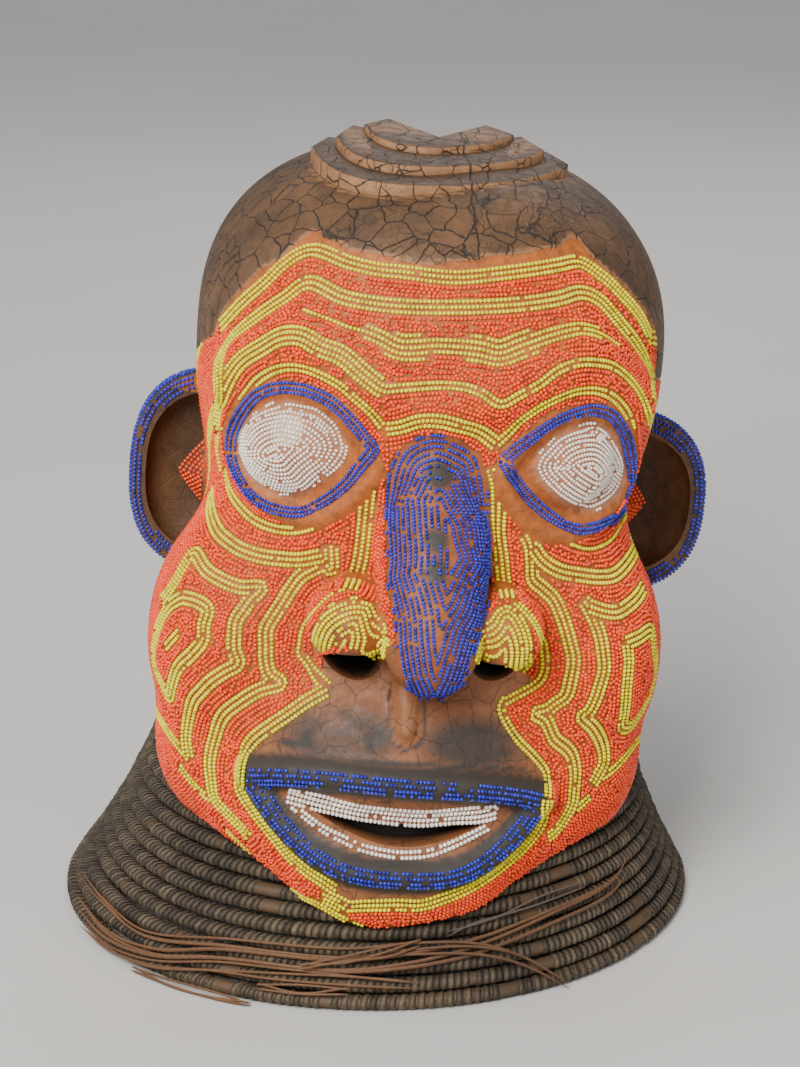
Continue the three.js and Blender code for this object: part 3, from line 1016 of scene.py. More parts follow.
class NodeTree:
    """Nodes, and the links between them."""

    def __init__(self, tree: bpy.types.NodeTree) -> None:
        """Takes the tree that nodes are added to."""
        self.nodes, self.links = tree.nodes, tree.links

    def add(self, kind: str, inputs: dict | None = None, **settings: object) -> bpy.types.Node:
        """Adds a node.

        Args:
            kind: The node's type.
            inputs: Sockets or plain values for its inputs, by name or number.
            settings: The node's own options.

        Returns:
            The node.
        """
        made = self.nodes.new(kind)
        for name, value in settings.items():
            setattr(made, name, value)
        for name, value in (inputs or {}).items():
            if isinstance(value, bpy.types.NodeSocket):
                self.links.new(value, made.inputs[name])
            else:
                made.inputs[name].default_value = value
        return made


class GeometryTree(NodeTree):
    """A Geometry Nodes tree that is built in the script and then run on an object."""

    def __init__(self, name: str) -> None:
        """Starts a tree with one geometry going in and one coming out.

        Args:
            name: The tree's name.
        """
        self.group = bpy.data.node_groups.new(name, "GeometryNodeTree")
        super().__init__(self.group)
        face = self.group.interface
        face.new_socket("Geometry", in_out="INPUT", socket_type="NodeSocketGeometry")
        face.new_socket("Geometry", in_out="OUTPUT", socket_type="NodeSocketGeometry")
        self.keys: dict[str, str] = {}
        self.entry = self.nodes.new("NodeGroupInput")
        self.exit = self.nodes.new("NodeGroupOutput")

    def take(self, name: str, kind: str) -> bpy.types.NodeSocket:
        """Adds a named input and returns its socket.

        Args:
            name: The input's name.
            kind: What it takes, such as Float.

        Returns:
            The input's socket.
        """
        made = self.group.interface.new_socket(name, in_out="INPUT", socket_type=f"NodeSocket{kind}")
        self.keys[name] = made.identifier
        return self.entry.outputs[name]

    def attribute(self, name: str, kind: str) -> bpy.types.NodeSocket:
        """Reads a named attribute."""
        return self.add("GeometryNodeInputNamedAttribute", {"Name": name}, data_type=kind).outputs[0]

    def end(self, geometry: bpy.types.NodeSocket, material: bpy.types.NodeSocket) -> None:
        """Ends the tree with plain geometry in one material.

        Args:
            geometry: What the tree has made.
            material: Its material.
        """
        real = self.add("GeometryNodeRealizeInstances", {"Geometry": geometry})
        soft = self.add("GeometryNodeSetShadeSmooth", {"Geometry": real.outputs[0]})
        last = self.add("GeometryNodeSetMaterial", {"Geometry": soft.outputs[0], "Material": material})
        self.links.new(last.outputs[0], self.exit.inputs[0])

    def run(self, piece: bpy.types.Object, values: dict[str, object]) -> None:
        """Runs the tree on an object and turns the result into its mesh.

        Args:
            piece: The object that is changed.
            values: The tree's inputs by name.
        """
        modifier = piece.modifiers.new(self.group.name, "NODES")
        modifier.node_group = self.group
        for name, value in values.items():
            modifier[self.keys[name]] = value
        bake_modifiers(piece)


@dataclass
class Scatter:
    """Sets copies of a small piece on points, each turned and sized by the point's own values."""

    tree: GeometryTree = field(init=False)

    def __post_init__(self) -> None:
        """Builds the tree."""
        tree = GeometryTree("set_in_place")
        piece = tree.take("Piece", "Object")
        size = tree.take("Size", "Vector")
        spread = tree.take("Size spread", "Float")
        turn = tree.take("Turn spread", "Float")
        seed = tree.take("Seed", "Int")
        material = tree.take("Material", "Material")
        copy = tree.add("GeometryNodeObjectInfo", {"Object": piece}).outputs["Geometry"]
        axes = {
            "Primary Axis": tree.attribute("outwards", "FLOAT_VECTOR"),
            "Secondary Axis": tree.attribute("along", "FLOAT_VECTOR"),
        }
        rotation = tree.add("FunctionNodeAxesToRotation", axes, primary_axis="Z", secondary_axis="X")
        less = tree.add("ShaderNodeMath", {0: turn, 1: -1.0}, operation="MULTIPLY").outputs[0]
        random = "FunctionNodeRandomValue"
        wobble = tree.add(random, {0: less, 1: turn, "Seed": seed}, data_type="FLOAT_VECTOR")
        angles = {"Rotation": rotation.outputs[0], "Rotate By": wobble.outputs[0]}
        turned = tree.add("FunctionNodeRotateRotation", angles, rotation_space="LOCAL")
        smallest = tree.add("ShaderNodeMath", {0: 1.0, 1: spread}, operation="SUBTRACT").outputs[0]
        largest = tree.add("ShaderNodeMath", {0: 1.0, 1: spread}, operation="ADD").outputs[0]
        grow = tree.add(random, {0: smallest, 1: largest, "Seed": seed}, data_type="FLOAT_VECTOR")
        own = tree.attribute("size", "FLOAT_VECTOR")
        scale = tree.add("ShaderNodeVectorMath", {0: size, 1: own}, operation="MULTIPLY").outputs[0]
        jittered = {0: scale, 1: grow.outputs[0]}
        scale = tree.add("ShaderNodeVectorMath", jittered, operation="MULTIPLY").outputs[0]
        points = tree.add("GeometryNodeMeshToPoints", {"Mesh": tree.entry.outputs["Geometry"]})
        set_out = tree.add(
            "GeometryNodeInstanceOnPoints",
            {
                "Points": points.outputs[0],
                "Instance": copy,
                "Rotation": turned.outputs[0],
                "Scale": scale,
            },
        )
        tone = tree.add(random, {"Seed": seed}, data_type="FLOAT").outputs[1]
        named = tree.add(
            "GeometryNodeStoreNamedAttribute",
            {"Geometry": set_out.outputs[0], "Name": "tone", "Value": tone},
            data_type="FLOAT",
            domain="INSTANCE",
        )
        tree.end(named.outputs[0], material)
        self.tree = tree

    def lay(
        self,
        name: str,
        copy: bpy.types.Object,
        places: Places,
        finish: bpy.types.Material,
        size: Sequence[float] = (1, 1, 1),
        spread: float = 0.08,
        turn: float = 0.1,
        seed: int = 1,
    ) -> bpy.types.Object:
        """Makes one piece of many copies.

        Args:
            name: The piece's name.
            copy: The small piece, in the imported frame's units.
            places: Where the copies go.
            finish: Their material.
            size: What every copy is scaled by.
            spread: How much the copies differ in size.
            turn: How far they are turned at random, in radians.
            seed: The seed of what is random.

        Returns:
            The piece.
        """
        made = mesh_object(name, places.points, [])
        set_attribute(made, "outwards", places.outwards)
        set_attribute(made, "along", places.along)
        set_attribute(made, "size", places.sizes)
        values = {
            "Piece": copy,
            "Size": tuple(float(s) for s in size),
            "Size spread": spread,
            "Turn spread": turn,
            "Seed": seed,
            "Material": finish,
        }
        self.tree.run(made, values)
        return made


@dataclass
class Sweep:
    """Runs a round or flat strand along a line."""

    tree: GeometryTree = field(init=False)

    def __post_init__(self) -> None:
        """Builds the tree."""
        tree = GeometryTree("follow_the_line")
        width = tree.take("Width", "Float")
        thickness = tree.take("Thickness", "Float")
        sides = tree.take("Sides", "Int")
        material = tree.take("Material", "Material")
        line = tree.add("GeometryNodeMeshToCurve", {"Mesh": tree.entry.outputs["Geometry"]})
        aligned = tree.add("GeometryNodeSetCurveNormal", {"Curve": line.outputs[0]}, mode="Z_UP")
        circle = tree.add("GeometryNodeCurvePrimitiveCircle", {"Resolution": sides, "Radius": 0.5})
        scale = tree.add("ShaderNodeCombineXYZ", {"X": thickness, "Y": width, "Z": 1.0})
        shape = {"Geometry": circle.outputs[0], "Scale": scale.outputs[0]}
        profile = tree.add("GeometryNodeTransform", shape)
        swept = tree.add(
            "GeometryNodeCurveToMesh",
            {
                "Curve": aligned.outputs[0],
                "Profile Curve": profile.outputs[0],
                "Scale": tree.attribute("taper", "FLOAT"),
                "Fill Caps": True,
            },
        )
        tree.end(swept.outputs[0], material)
        self.tree = tree

    def along(
        self,
        name: str,
        lines: Sequence[Array],
        tapers: Sequence[Array],
        finish: bpy.types.Material,
        width: float,
        thickness: float,
        sides: int = 8,
        closed: bool = False,
    ) -> bpy.types.Object:
        """Makes one piece of strands.

        Args:
            name: The piece's name.
            lines: The strands' middle lines, in metres.
            tapers: What each strand's thickness is multiplied by, at each of its places.
            finish: Their material.
            width: The width of a strand, in metres.
            thickness: Its thickness.
            sides: How many sides it has.
            closed: Whether the lines are rings.

        Returns:
            The piece.
        """
        edges, start = [], 0
        for line in lines:
            edges += [(start + i, start + i + 1) for i in range(len(line) - 1)]
            if closed:
                edges.append((start + len(line) - 1, start))
            start += len(line)
        made = mesh_object(name, np.concatenate(lines), [], edges)
        set_attribute(made, "taper", np.concatenate(tapers))
        values = {"Width": width, "Thickness": thickness, "Sides": sides, "Material": finish}
        self.tree.run(made, values)
        return made


class ShaderTree(NodeTree):
    """A material under construction."""

    def __init__(self, name: str) -> None:
        """Starts a material with one surface shader.

        Args:
            name: The material's name.
        """
        self.material = bpy.data.materials.new(name)
        self.material.use_nodes = True
        super().__init__(self.material.node_tree)
        self.shader = self.nodes["Principled BSDF"]
        self.place = self.nodes.new("ShaderNodeTexCoord").outputs["Object"]

    def noise(self, scale: float, detail: float = 4.0, rough: float = 0.6) -> bpy.types.NodeSocket:
        """Soft noise over the object."""
        inputs = {"Vector": self.place, "Scale": scale, "Detail": detail, "Roughness": rough}
        return self.add("ShaderNodeTexNoise", inputs).outputs[0]

    def attribute(self, name: str) -> bpy.types.NodeSocket:
        """A number stored on the mesh."""
        return self.add("ShaderNodeAttribute", attribute_name=name).outputs["Fac"]

    def ramp(
        self, value: bpy.types.NodeSocket, low: float, high: float, to: tuple[float, float] = (0, 1)
    ) -> bpy.types.NodeSocket:
        """Takes one range of numbers to another, and holds it there.

        Args:
            value: The number.
            low: What becomes the first of the new range.
            high: What becomes the last of it.
            to: The new range.

        Returns:
            The new number.
        """
        inputs = {"Value": value, "From Min": low, "From Max": high, "To Min": to[0], "To Max": to[1]}
        return self.add("ShaderNodeMapRange", inputs, clamp=True).outputs[0]

    def sum(
        self, a: bpy.types.NodeSocket | float, b: bpy.types.NodeSocket | float, how: str = "MULTIPLY"
    ) -> bpy.types.NodeSocket:
        """Two numbers multiplied, or put together in another way."""
        return self.add("ShaderNodeMath", {0: a, 1: b}, operation=how).outputs[0]

    def blend(
        self,
        share: bpy.types.NodeSocket | float,
        first: "bpy.types.NodeSocket | Colour",
        second: "bpy.types.NodeSocket | Colour",
    ) -> bpy.types.NodeSocket:
        """A colour between two others.

        Args:
            share: How much of the second colour there is.
            first: A colour.
            second: Another.

        Returns:
            The colour between them.
        """
        made = self.add("ShaderNodeMix", {0: share}, data_type="RGBA")
        for key, value in ((6, first), (7, second)):
            if isinstance(value, bpy.types.NodeSocket):
                self.links.new(value, made.inputs[key])
            else:
                made.inputs[key].default_value = value.linear()
        return made.outputs[2]

    def colour(self, value: bpy.types.NodeSocket) -> None:
        """Sets the surface's colour."""
        self.links.new(value, self.shader.inputs["Base Color"])

    def roughness(self, value: bpy.types.NodeSocket) -> None:
        """Sets how rough the surface is."""
        self.links.new(value, self.shader.inputs["Roughness"])

    def bump(self, height: bpy.types.NodeSocket, strength: float, distance: float) -> None:
        """Raises the surface a little, over what was raised before.

        Args:
            height: How high the surface is.
            strength: How much of it shows.
            distance: What a height of one is, in metres.
        """
        inputs = {"Height": height, "Strength": strength, "Distance": distance}
        made = self.add("ShaderNodeBump", inputs)
        old = self.shader.inputs["Normal"]
        if old.is_linked:
            self.links.new(old.links[0].from_socket, made.inputs["Normal"])
        self.links.new(made.outputs[0], old)


@dataclass(frozen=True)
class Colour:
    """A colour as it looks on a screen, from 0 to 255."""

    red: float
    green: float
    blue: float

    def linear(self) -> tuple[float, float, float, float]:
        """The colour as Blender's shaders take it.

        Returns:
            Red, green and blue from 0 to 1, and one.
        """
        shares = [value / 255 for value in (self.red, self.green, self.blue)]
        made = [s / 12.92 if s < 0.04045 else ((s + 0.055) / 1.055) ** 2.4 for s in shares]
        return (*made, 1.0)


# Finishes


@dataclass(frozen=True)
class BeadFinish:
    """Small glass beads, each a little different, dusty in places."""

    name: str
    base: Colour
    deep: Colour
    dust: Colour
    dusty: float = 0.22
    gloss: float = 0.2

    def make(self) -> bpy.types.Material:
        """Builds the material.

        Returns:
            The material.
        """
        tree = ShaderTree(self.name)
        tone = tree.attribute("tone")
        own = tree.blend(tree.ramp(tone, 0.55, 1.0), self.base, self.deep)
        wear = tree.noise(26, 5)
        fine = tree.noise(420, 2)
        film = tree.sum(tree.ramp(wear, 0.42, 0.66, (0.0, self.dusty)), tree.ramp(fine, 0.3, 0.7))
        tree.colour(tree.blend(film, own, self.dust))
        tree.roughness(tree.ramp(tree.sum(film, tone, "ADD"), 0.2, 1.4, (self.gloss, 0.75)))
        tree.bump(tree.noise(1500, 2), 0.15, 0.0002)
        return tree.material


@dataclass(frozen=True)
class WoodFinish:
    """Dark carved wood with a crackled crust, clay under the beads, and a bare worn mouth, with painted
    shade in deep cuts and on the crest and painted light on its risers.
    """

    name: str = "carved_wood"
    cap: Colour = Colour(70, 50, 32)
    cap_light: Colour = Colour(112, 78, 48)
    # worn wood, also used for the painted light on the crest's risers and along the hair's ledge
    rubbed_and_lit: Colour = Colour(166, 118, 78)
    clay: Colour = Colour(184, 98, 32)
    clay_dark: Colour = Colour(130, 68, 24)
    pale: Colour = Colour(208, 188, 164)
    bare: Colour = Colour(142, 86, 48)
    slate: Colour = Colour(50, 43, 38)
    # soot: dark mottling and cracks, and also the painted shade in deep cuts
    soot_and_shade: Colour = Colour(26, 21, 18)
    long_crack: float = 0.0397
    long_crack_low: float = 0.336

    def cracks(self, tree: ShaderTree, scale: float, width: float, bend: float) -> bpy.types.NodeSocket:
        """A net of cracks.

        Args:
            tree: The material.
            scale: How many cells there are to a metre.
            width: How wide a crack is, as a share of a cell.
            bend: How far the cracks wander, in metres.

        Returns:
            One in a crack, nothing beside it.
        """
        wander = tree.add("ShaderNodeTexNoise", {"Vector": tree.place, "Scale": scale, "Detail": 4.0})
        shift = tree.add("ShaderNodeVectorMath", {0: wander.outputs[1]}, operation="SCALE")
        shift.inputs["Scale"].default_value = bend
        moved = tree.add("ShaderNodeVectorMath", {0: tree.place, 1: shift.outputs[0]}, operation="ADD")
        cells = tree.add(
            "ShaderNodeTexVoronoi",
            {"Vector": moved.outputs[0], "Scale": scale, "Randomness": 1.0},
            feature="DISTANCE_TO_EDGE",
        )
        return tree.ramp(cells.outputs[0], 0.25 * width, width, (1.0, 0.0))

    def split(self, tree: ShaderTree) -> bpy.types.NodeSocket:
        """The long crack that runs down the forehead from the crest.

        Args:
            tree: The material.

        Returns:
            One in the crack, nothing beside it.
        """
        x, _, z = tree.add("ShaderNodeSeparateXYZ", {0: tree.place}).outputs
        wobble = tree.ramp(tree.noise(70, 5), 0.3, 0.7, (-0.0012, 0.0012))
        away = tree.sum(tree.sum(x, -self.long_crack, "ADD"), wobble, "SUBTRACT")
        line = tree.ramp(tree.sum(away, 0.0, "ABSOLUTE"), 0.0002, 0.0006, (1.0, 0.0))
        high = tree.ramp(z, self.long_crack_low, self.long_crack_low + 0.002)
        return tree.sum(line, high)

    def make(self) -> bpy.types.Material:
        """Builds the material.

        Returns:
            The material.
        """
        tree = ShaderTree(self.name)
        broad = tree.noise(22, 6)
        fine = tree.noise(190, 5, 0.7)
        grain = tree.noise(900, 3, 0.7)
        clay_here = tree.attribute("clay")
        crest = tree.attribute("crest")
        geometry = tree.add("ShaderNodeNewGeometry").outputs["Normal"]
        level = tree.add("ShaderNodeSeparateXYZ", {0: geometry}).outputs[2]
        small = tree.sum(self.cracks(tree, 190, 0.04, 0.004), tree.ramp(tree.noise(34, 3), 0.5, 0.65))
        crack = tree.sum(self.cracks(tree, 76, 0.03, 0.008), small, "MAXIMUM")
        crack = tree.sum(crack, tree.ramp(tree.attribute("ear"), 0.0, 1.0, (1.0, 0.15)))
        crack = tree.sum(crack, self.split(tree), "MAXIMUM")
        cap = tree.blend(tree.ramp(broad, 0.38, 0.64), self.cap, self.cap_light)
        cap = tree.blend(tree.ramp(fine, 0.42, 0.72, (0.0, 0.55)), cap, self.soot_and_shade)
        cap = tree.blend(tree.ramp(grain, 0.45, 0.7, (0.0, 0.4)), cap, self.cap_light)
        # painted shade: the crest is darkened towards the plain cap colour, so that its upward tops look
        # dark
        cap = tree.blend(tree.sum(crest, 0.7), cap, self.cap)
        # painted light: the crest's steep risers are lightened by which way they face, together with their
        # wear
        riser = tree.sum(crest, tree.ramp(level, 0.75, 0.93, (0.9, 0.0)))
        foot = tree.sum(crest, tree.sum(tree.sum(crest, -1.0), 1.0, "ADD"))
        rub_and_light = tree.sum(riser, tree.sum(foot, 2.4), "MAXIMUM")
        # painted highlight on the edge of the hair's raised ledge, with its wear
        hem = tree.sum(tree.ramp(clay_here, 0.02, 0.3), tree.ramp(clay_here, 0.35, 0.6, (0.85, 0.0)))
        rub_and_light = tree.sum(rub_and_light, hem, "MAXIMUM")
        cap = tree.blend(tree.sum(rub_and_light, tree.ramp(fine, 0.3, 0.7, (1.0, 0.45))), cap, self.rubbed_and_lit)
        cap = tree.blend(tree.sum(crack, 0.85), cap, self.soot_and_shade)
        clay = tree.blend(tree.ramp(fine, 0.35, 0.68), self.clay, self.clay_dark)
        bare = tree.blend(tree.ramp(fine, 0.4, 0.7, (0.0, 0.4)), self.bare, self.cap)
        # stains, and the painted shadow round the philtrum's tab and painted shade in the groove, darken the
        # bare wood
        bare = tree.blend(tree.sum(tree.attribute("stain"), tree.ramp(broad, 0.2, 0.46)), bare, self.slate)
        bare = tree.blend(tree.sum(crack, 0.6), bare, self.soot_and_shade)
        made = tree.blend(tree.ramp(clay_here, 0.4, 0.6), cap, clay)
        made = tree.blend(tree.attribute("bare"), made, bare)
        made = tree.blend(tree.attribute("pale"), made, self.pale)
        made = tree.blend(tree.attribute("paste"), made, self.slate)
        # painted shade: darkens what is cut deep into the block, such as the nostrils, the mouth's slit and
        # the hollow
        made = tree.blend(tree.attribute("deep"), made, self.soot_and_shade)
        tree.colour(made)
        tree.roughness(tree.ramp(fine, 0.3, 0.7, (0.5, 0.75)))
        open_wood = tree.sum(crack, tree.ramp(clay_here, 0.0, 1.0, (1.0, 0.0)))
        tree.bump(tree.sum(open_wood, -1.0), 0.8, 0.0012)
        tree.bump(fine, 0.4, 0.0008)
        tree.bump(grain, 0.3, 0.0003)
        return tree.material


@dataclass(frozen=True)
class CaneFinish:
    """Old cane with its grain along the strand, grey with age and brown where rubbed."""

    name: str
    base: Colour
    light: Colour
    dark: Colour
    rough: float = 0.66

    def make(self) -> bpy.types.Material:
        """Builds the material.

        Returns:
            The material.
        """
        tree = ShaderTree(self.name)
        tone = tree.attribute("tone")
        own = tree.blend(tone, self.base, self.light)
        broad = tree.noise(18, 4)
        fine = tree.noise(600, 3)
        made = tree.blend(tree.ramp(broad, 0.4, 0.7, (0.0, 0.6)), own, self.dark)
        made = tree.blend(tree.ramp(fine, 0.35, 0.75, (0.0, 0.55)), made, self.dark)
        tree.colour(made)
        tree.shader.inputs["Roughness"].default_value = self.rough
        tree.bump(fine, 0.4, 0.0005)
        return tree.material


@dataclass(frozen=True)
class FloorFinish:
    """A plain pale floor."""

    name: str = "floor"
    base: Colour = Colour(205, 203, 199)
    shade: Colour = Colour(190, 188, 184)
    rough: float = 0.85

    def make(self) -> bpy.types.Material:
        """Builds the material.

        Returns:
            The material.
        """
        tree = ShaderTree(self.name)
        soft = tree.noise(3, 2)
        tree.colour(tree.blend(tree.ramp(soft, 0.3, 0.7, (0, 0.25)), self.base, self.shade))
        tree.shader.inputs["Roughness"].default_value = self.rough
        return tree.material


# The collar of coiled cane


@dataclass
class BasketCollar:
    """The coiled wall that the head stands on."""

    stance: Stance
    height: float = 84.0
    bottom_radius: float = 162.0
    top_radius: float = 121.0
    flare: float = 4.0
    coils: int = 12
    lean: float = 9.0
    widest: float = 2.1
    half_depth: float = 4.3
    half_height: float = 3.45
    wander: float = 0.5
    wrap_width: float = 3.4
    wrap_sides: int = 8
    slant: float = 1.1
    crown: float = 0.25
    lost: float = 0.012
    bare: tuple[tuple[float, float, float], ...] = (
        (36.5, 41.5, 7), (26.5, 34, 6), (28, 13, 6.5), (20.5, 4, 6),
        (56.5, 13, 7), (51.5, 6.5, 7), (-26.5, 43, 7), (-30, 7.5, 6),
    )

    def radius(self, z: Array | float) -> Array | float:
        """The outer radius at a height.

        Args:
            z: The height.

        Returns:
            The radius.
        """
        share = z / self.height
        straight = self.bottom_radius + (self.top_radius - self.bottom_radius) * share
        return straight - self.flare * 4 * share * (1 - share)

    def leaned(self, points: Array) -> Array:
        """Shifts places sideways with the collar, more the higher they are."""
        share = np.clip(points[:, 2] / self.height, 0, 1)
        return points + np.stack([self.lean * share, 0 * share, 0 * share], 1)

    def place(self, path: Array) -> Array:
        """Places on the side, from rows of angle from the front, height and stand-off.

        Args:
            path: Angle, height and stand-off, one place a row.

        Returns:
            The places in the mask frame.
        """
        turn = np.radians(path[:, 0])
        radius = self.radius(path[:, 1]) + path[:, 2]
        points = np.stack([radius * np.sin(turn), -radius * np.cos(turn), path[:, 1]], 1)
        return self.leaned(points)

    def seat(self, gap: float, touch: float, beyond: float) -> bpy.types.Object:
        """What the collar takes up, with a clearance.

        Args:
            gap: The clearance at the side.
            touch: The clearance on top.
            beyond: How far down the form goes on.

        Returns:
            The solid, in the mask frame.
        """
        profile = [[0, -beyond], [self.bottom_radius + gap, -beyond]]
        for share in np.linspace(0, 1, 9):
            z = self.height * share
            profile.append([self.radius(z) + gap, z + (touch if share == 1 else 0)])
        profile.append([0, self.height + touch])
        made = lathe("seat", np.array(profile), 96)
        set_vertices(made, self.leaned(vertices(made)))
        return made

    def ring(self, coil: int, rng: np.random.Generator, steps: int = 120) -> Array:
        """The middle line of one coil, a little uneven.

        Args:
            coil: Which coil, counted from the floor.
            rng: Where the unevenness comes from.
            steps: How many places it has.

        Returns:
            Places round the coil, in the mask frame.
        """
        pitch = self.height / self.coils
        z = max((coil + 0.5) * pitch, self.half_height + self.crown + 0.15)
        turn = np.arange(steps) / steps * 2 * math.pi
        radius = np.full(steps, self.radius(z) - self.half_depth)
        rise = np.full(steps, z)
        for waves in (2, 3, 5, 9):
            phase, other = rng.uniform(0, 2 * math.pi, 2)
            radius += self.wander / waves * np.sin(waves * turn + phase)
            if 0 < coil < self.coils - 1:
                rise += 0.5 * self.wander / waves * np.sin(waves * turn + other)
        return self.leaned(np.stack([radius * np.sin(turn), -radius * np.cos(turn), rise], 1))

    def wrap(self, width: float) -> bpy.types.Object:
        """One turn of split cane round a coil: a closed band with a crowned back.

        Args:
            width: The width of the cane, in millimetres.

        Returns:
            The band round the X axis, slanted, in metres.
        """
        turn = (np.arange(self.wrap_sides) + 0.5) / self.wrap_sides * 2 * math.pi
        slant = self.slant * np.sin(turn)
        rings = []
        for across, rise in ((-0.5, 0.0), (0.0, self.crown), (0.5, 0.0)):
            depth = self.half_depth + rise
            height = self.half_height + rise
            x = across * width + slant
            rings.append(np.stack([x, depth * np.sin(turn), height * np.cos(turn)], 1))
        faces = grid_faces(len(rings) + 1, self.wrap_sides, True) % (len(rings) * self.wrap_sides)
        return mesh_object("wrap", np.concatenate(rings) * METRES, faces)

    def wraps_on(self, ring: Array, width: float, rng: np.random.Generator) -> Places:
        """Places for the wraps of one coil, with some lost.

        Args:
            ring: The coil's middle line, in the mask frame.
            width: The width of the cane.
            rng: Where the unevenness comes from.

        Returns:
            The places, in metres.
        """
        closed = np.concatenate([ring, ring[:1]])
        length = lengths_along(closed)[-1]
        count = int(length / width)
        points = resample(closed, length / count * 0.99999, rng.uniform(0, 0.5))[:count]
        along = np.roll(points, -1, 0) - np.roll(points, 1, 0)
        along /= np.linalg.norm(along, axis=1, keepdims=True)
        kept = np.ones(len(points), bool)
        for angle, z, reach in self.bare:
            at = self.place(np.array([[angle, z, -self.half_depth]]))
            kept &= np.linalg.norm(points - at, axis=1) > reach
        kept &= rng.random(len(points)) > self.lost
        at = self.stance.mask_to_metres(points[kept])
        outwards = np.tile([0.0, 0.0, 1.0], (len(at), 1))
        return Places(at, outwards, along[kept], np.ones((len(at), 3)))


@dataclass
class CollarDressing:
    """The collar as it is seen: coils of thin canes, bound with split cane."""

    collar: BasketCollar
    sweep: Sweep
    scatter: Scatter
    core: CaneFinish = CaneFinish("bundle", Colour(92, 70, 46), Colour(126, 98, 66), Colour(38, 30, 22))
    cane: CaneFinish = CaneFinish("binding", Colour(60, 49, 36), Colour(108, 92, 70), Colour(22, 18, 14))
    seed: int = 11
    wrap_seed: int = 5
    first_wrap: float = 1.3
    under_wrap: tuple[float, float] = (0.25, 0.35)

    def build(self) -> list[bpy.types.Object]:
        """Makes the coils and their binding, and hides the collar's plain solid.

        Returns:
            The pieces.
        """
        rng = np.random.default_rng(self.seed)
        collar = self.collar
        rings = [collar.ring(coil, rng) for coil in range(collar.coils)]
        coils = self.sweep.along(
            "collar_coils",
            [collar.stance.mask_to_metres(ring) for ring in rings],
            [np.ones(len(ring)) for ring in rings],
            self.core.make(),
            2 * (collar.half_height - self.under_wrap[0]) * METRES,
            2 * (collar.half_depth - self.under_wrap[1]) * METRES,
            10,
            True,
        )
        binding = self.cane.make()
        pieces = [coils]
        half = collar.coils // 2
        for name, chosen in (("collar_binding_low", rings[:half]), ("collar_binding_high", rings[half:])):
            parts = []
            for ring in chosen:
                width = collar.wrap_width * (self.first_wrap if ring is rings[0] else 1.0)
                parts.append(collar.wraps_on(ring, width, rng))
            places, band = Places.joined(parts), collar.wrap(collar.wrap_width)
            made = self.scatter.lay(name, band, places, binding, spread=0.03, turn=0.05, seed=self.wrap_seed)
            pieces.append(made)
            discard(band)
        for piece in pieces:
            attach(piece, BODY)
            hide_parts("basket_collar")
        return pieces


@dataclass(frozen=True)
class Splint:
    """A loose splint: places on the collar's side, as angle, height and stand-off."""

    name: str
    width: float
    thickness: float
    path: tuple[tuple[float, float, float], ...]


